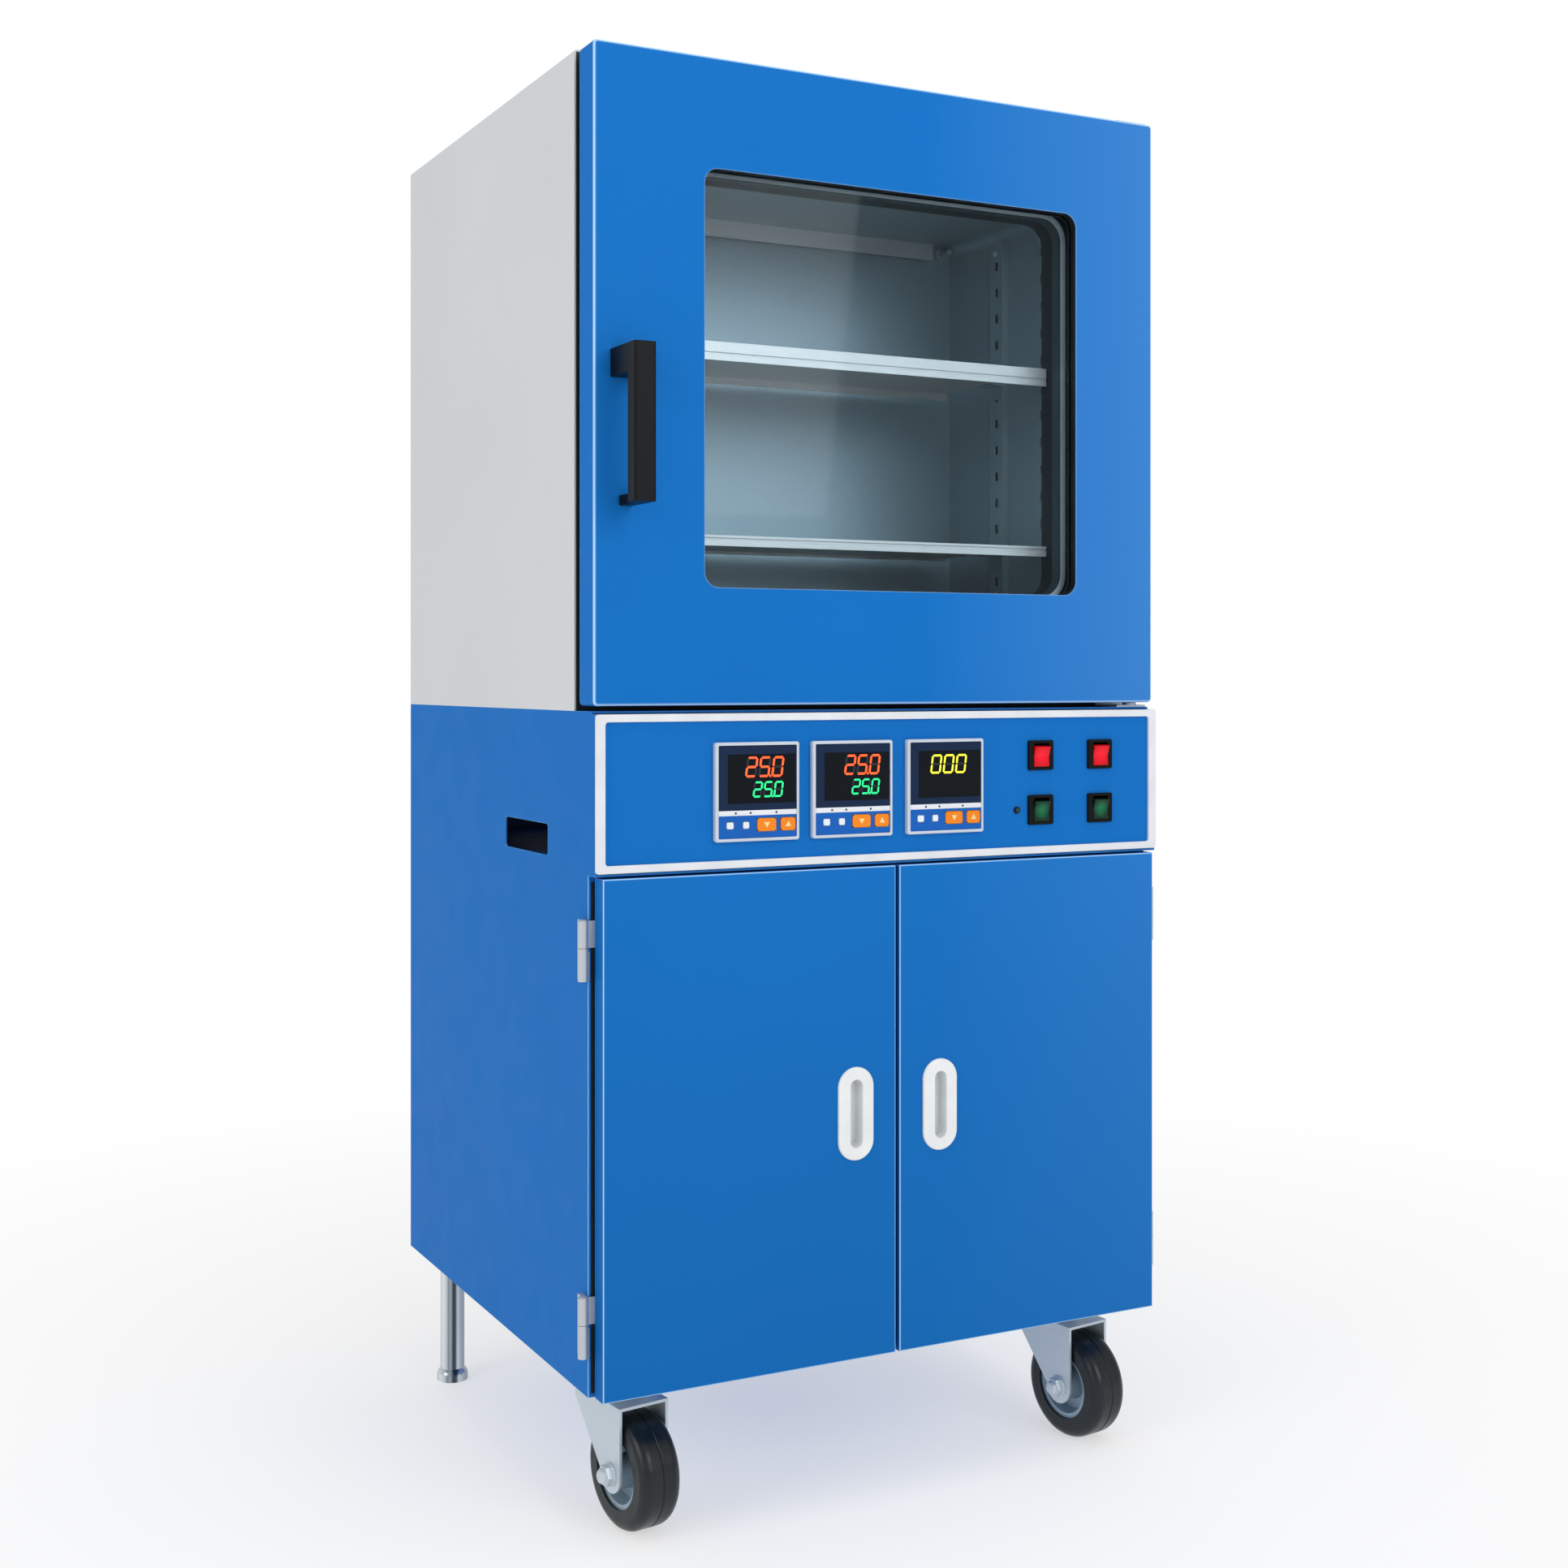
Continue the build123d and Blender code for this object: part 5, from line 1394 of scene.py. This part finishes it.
@dataclass
class CabinetHinges(Detail):
    """Pin caps and fixed leaves of the four cabinet hinges, and dark strips of painted shade in the
    gaps beside them.

    Attributes:
        length: Length of a hinge.
        radius: Radius of a knuckle.
        face_gap: Gap from the doors' back to the cabinet's front.
        leaf: Width and thickness of a fixed leaf.
        leaf_spot: Distance of a leaf's middle from the barrel's outside and the cabinet's front.
        strip: Width and thickness of a dark strip of painted shade.
        strip_spot: Distance of a strip's middle from the door's edge and the cabinet's front.
    """

    length: float = 57.0
    radius: float = 5.0
    face_gap: float = 3.0
    leaf: Flat = (8.0, 1.6)
    leaf_spot: Flat = (7.0, 2.0)
    strip: Flat = (3.6, 0.6)
    strip_spot: Flat = (1.4, 0.3)

    def build(self) -> None:
        """Build the caps, the leaves and the strips."""
        caps, leaves, strips = bmesh.new(), bmesh.new(), bmesh.new()
        post_low = corners("cabinet_hinge_posts")[0]
        face_y = corners("left_door")[1].y + self.face_gap
        for side, sign in (("left", -1), ("right", 1)):
            ends = corners(f"{side}_hinge_knuckles")
            door = corners(f"{side}_door")
            outer = 0 if side == "left" else 1
            barrel_x, edge_x, high = ends[outer].x, door[outer].x, ends[1]
            for z in (high.z, post_low.z + self.length):
                spot = (barrel_x - sign * self.radius, high.y - self.radius, z)
                add_turned(caps, spot, Facing.UP, PIN_CAP, 24)
            for low_z in (post_low.z, high.z - self.length):
                x, y = barrel_x - sign * self.leaf_spot[0], face_y - self.leaf_spot[1]
                spot = (x, y, low_z + self.length / 4)
                add_block(leaves, spot, (*self.leaf, self.length / 2 - 1.0), 0.3)
            # Dark strip of painted shade in the gap beside the door's edge.
            x, y = edge_x + sign * self.strip_spot[0], face_y - self.strip_spot[1]
            spot = (x, y, (door[0].z + door[1].z) / 2)
            add_block(strips, spot, (*self.strip, door[1].z - door[0].z - 8.0))
        self.shop.piece("hinge_pin_caps", caps, HINGE_METAL, "hinge_zinc")
        self.shop.piece("fixed_hinge_leaves", leaves, HINGE_METAL, "hinge_zinc")
        self.shop.piece("door_gap_painted_shade", strips, GASKET_AND_SHADE_BLACK, "gasket_rubber")


@dataclass
class CasterDetail(Detail):
    """Axle nuts, washers and plate bolts of the two front casters.

    Attributes:
        turn: Angle at which the casters rest, in degrees.
        tyre_width: Width of a tyre.
        cheek_gap: Distance from a tyre's side to the fork's outer face.
        plate_width: Width of a top plate.
        plate_thick: Thickness of a top plate.
        bolt_x: Distance of the plate bolts from the plate's middle, across.
        bolt_y: Distance of the plate bolts from the plate's middle, along.
    """

    turn: float = 8.0
    tyre_width: float = 44.0
    cheek_gap: float = 5.5
    plate_width: float = 84.0
    plate_thick: float = 3.0
    bolt_x: float = 34.0
    bolt_y: float = 40.0

    def build(self) -> None:
        """Build both casters' hardware."""
        bolts = bmesh.new()
        low, high = corners("caster_plates")
        plate_y = (low.y + high.y) / 2
        seat_z = high.z - self.plate_thick
        for side, sign in (("left", -1), ("right", 1)):
            self.axle_nuts(side)
            plate_x = sign * (high.x - self.plate_width / 2)
            for dx in (-self.bolt_x, self.bolt_x):
                for dy in (-self.bolt_y, self.bolt_y):
                    x, y = plate_x + dx, plate_y + dy
                    add_turned(bolts, (x, y, seat_z), Facing.DOWN, BOLT_WASHER, 32)
                    head_z = seat_z - BOLT_WASHER[-1][1]
                    add_hex(bolts, (x, y, head_z), Facing.DOWN, 10.0, 4.0)
        self.shop.piece("caster_plate_bolts", bolts, ZINC, "plated_steel")

    def axle_nuts(self, side: str) -> None:
        """Build one caster's washers and cap nuts, turned with its fork.

        Args:
            side: The caster's side.
        """
        nuts = bmesh.new()
        half = self.tyre_width / 2 + self.cheek_gap
        for sign, facing in ((-1, Facing.LEFT), (1, Facing.RIGHT)):
            add_turned(nuts, (sign * half, 0.0, 0.0), facing, AXLE_WASHER, 40)
            seat = half + max(height for _, height in AXLE_WASHER)
            add_hex(nuts, (sign * seat, 0.0, 0.0), facing, 18.0, 6.3, 5.0)
        turned = Matrix.Rotation(math.radians(self.turn), 4, "Z")
        place = Matrix.Translation(middle(f"{side}_hub")) @ turned
        bmesh.ops.transform(nuts, matrix=place, verts=nuts.verts[:])
        self.shop.piece(f"{side}_axle_nuts", nuts, ZINC, "plated_steel", f"{side}_swivel")


@dataclass
class LegScrews(Detail):
    """Flange screws of the two rear legs.

    Attributes:
        flange: Diameter of the flange.
        thick: Thickness of the flange.
        reach: Distance of the screws from the leg's middle.
    """

    flange: float = 60.0
    thick: float = 4.0
    reach: float = 22.0

    def build(self) -> None:
        """Build the screws of both flanges."""
        screws = bmesh.new()
        low, high = corners("rear_legs")
        mid_y = (low.y + high.y) / 2
        for mid_x in (low.x + self.flange / 2, high.x - self.flange / 2):
            for degrees in (90, 210, 330):
                angle = math.radians(degrees)
                x = mid_x + self.reach * math.cos(angle)
                y = mid_y + self.reach * math.sin(angle)
                add_screw(screws, (x, y, high.z - self.thick), Facing.DOWN, 3.8, 2.2)
        self.shop.piece("leg_screws", screws, ZINC, "plated_steel")


@dataclass
class Studio:
    """Floor, soft light and the camera at the photograph's angle.

    Attributes:
        lens: Focal length on a 36 mm sensor.
        place: The camera's place in metres.
        shift_y: Upward shift of the frame.
        world_light: Strength of the light from all round.
        floor_radius: Radius of the floor in metres.
        floor_shade: Share of the lit floor in the white near the oven.
    """

    lens: float = 45.96
    place: Point = (-1.026, -2.04075, 0.83)
    shift_y: float = -0.0686
    world_light: float = 0.62
    floor_radius: float = 40.0
    floor_shade: float = 0.55

    def camera(self) -> None:
        """Create the camera and make it the scene's."""
        data = bpy.data.cameras.new("camera")
        data.lens = self.lens
        data.sensor_width = 36.0
        data.shift_y = self.shift_y
        data.clip_start = 0.05
        eye = bpy.data.objects.new("camera", data)
        eye.location = self.place
        eye.rotation_euler = (math.radians(90), 0, CAMERA_TURN)
        bpy.context.scene.collection.objects.link(eye)
        bpy.context.scene.camera = eye

    def floor(self) -> None:
        """Create a pale floor that fades into the backdrop's white."""
        shape = bmesh.new()
        bmesh.ops.create_circle(shape, cap_ends=True, segments=96, radius=self.floor_radius)
        mesh = bpy.data.meshes.new("studio_floor")
        shape.to_mesh(mesh)
        shape.free()
        ground = bpy.data.objects.new("studio_floor", mesh)
        bpy.context.scene.collection.objects.link(ground)
        sheet = NodeSheet("studio_floor")
        cloud = sheet.noise(0.8, 2.0)
        sheet.wear(
            Base_Color=sheet.between(cloud, paint(250, 250, 250), paint(252, 252, 252)),
            Roughness=0.9,
            Specular_IOR_Level=0.1,
        )
        white = sheet.add("Emission").outputs[0]
        place = sheet.mapped((0.55, 0.55, 0.0))
        fade = sheet.add("TexGradient", {"Vector": place}, gradient_type="SPHERICAL")
        near = sheet.combine("MULTIPLY", fade.outputs["Fac"], self.floor_shade)
        sheet.blend(near, white, sheet.shader.outputs[0])
        mesh.materials.append(sheet.material)

    def world(self) -> None:
        """Create a plain white world, whiter to the camera and through the glass."""
        world = bpy.data.worlds.new("studio_world")
        bpy.context.scene.world = world
        world.use_nodes = True
        tree = world.node_tree
        tree.nodes.clear()
        output = tree.nodes.new("ShaderNodeOutputWorld")
        path = tree.nodes.new("ShaderNodeLightPath")
        either = tree.nodes.new("ShaderNodeMath")
        either.operation = "MAXIMUM"
        blend = tree.nodes.new("ShaderNodeMixShader")
        for index, ray in enumerate(("Is Camera Ray", "Is Transmission Ray")):
            tree.links.new(path.outputs[ray], either.inputs[index])
        tree.links.new(either.outputs[0], blend.inputs[0])
        for index, strength in ((1, self.world_light), (2, 1.0)):
            light = tree.nodes.new("ShaderNodeBackground")
            light.inputs["Color"].default_value = (1.0, 1.0, 1.0, 1.0)
            light.inputs["Strength"].default_value = strength
            tree.links.new(light.outputs[0], blend.inputs[index])
        tree.links.new(blend.outputs[0], output.inputs["Surface"])

    def lamp(self, name: str, place: Point, aim: Point, size: float, power: float) -> None:
        """Add one soft square lamp.

        Args:
            name: Name of the lamp.
            place: Where it stands, in metres.
            aim: What it points at.
            size: Length of its side.
            power: Power in watts.
        """
        data = bpy.data.lights.new(name, "AREA")
        data.size = size
        data.energy = power
        lamp = bpy.data.objects.new(name, data)
        lamp.location = place
        lamp.rotation_euler = (Vector(aim) - Vector(place)).to_track_quat("-Z", "Y").to_euler()
        bpy.context.scene.collection.objects.link(lamp)

    def build(self) -> None:
        """Set up the whole studio."""
        bpy.context.scene.view_settings.view_transform = "Standard"
        self.camera()
        self.floor()
        self.world()
        self.lamp("front_lamp", (1.0, -4.6, 2.6), (0.0, -0.3, 0.75), 2.6, 62.0)
        self.lamp("left_lamp", (-4.2, -1.2, 2.0), (0.0, 0.0, 0.7), 2.4, 42.0)
        self.lamp("top_lamp", (0.2, -0.8, 4.2), (0.0, 0.0, 0.8), 2.4, 30.0)


def main() -> None:
    """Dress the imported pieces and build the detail, then the studio."""
    logging.basicConfig(level=logging.INFO, format="%(name)s: %(message)s")
    shop = Workshop()
    for finish, nodes in NODE_FINISHES.items():
        for node in nodes:
            shop.dress(node, finish)
    details: tuple[type[Detail], ...] = (
        ControllerFaces, InletScrews, RearScrews, ChamberDetail, MainDoorScrews, CabinetHinges,
        CasterDetail, LegScrews,
    )
    for detail in details:
        detail(shop).build()
    Studio().build()


if __name__ == "__main__":
    main()
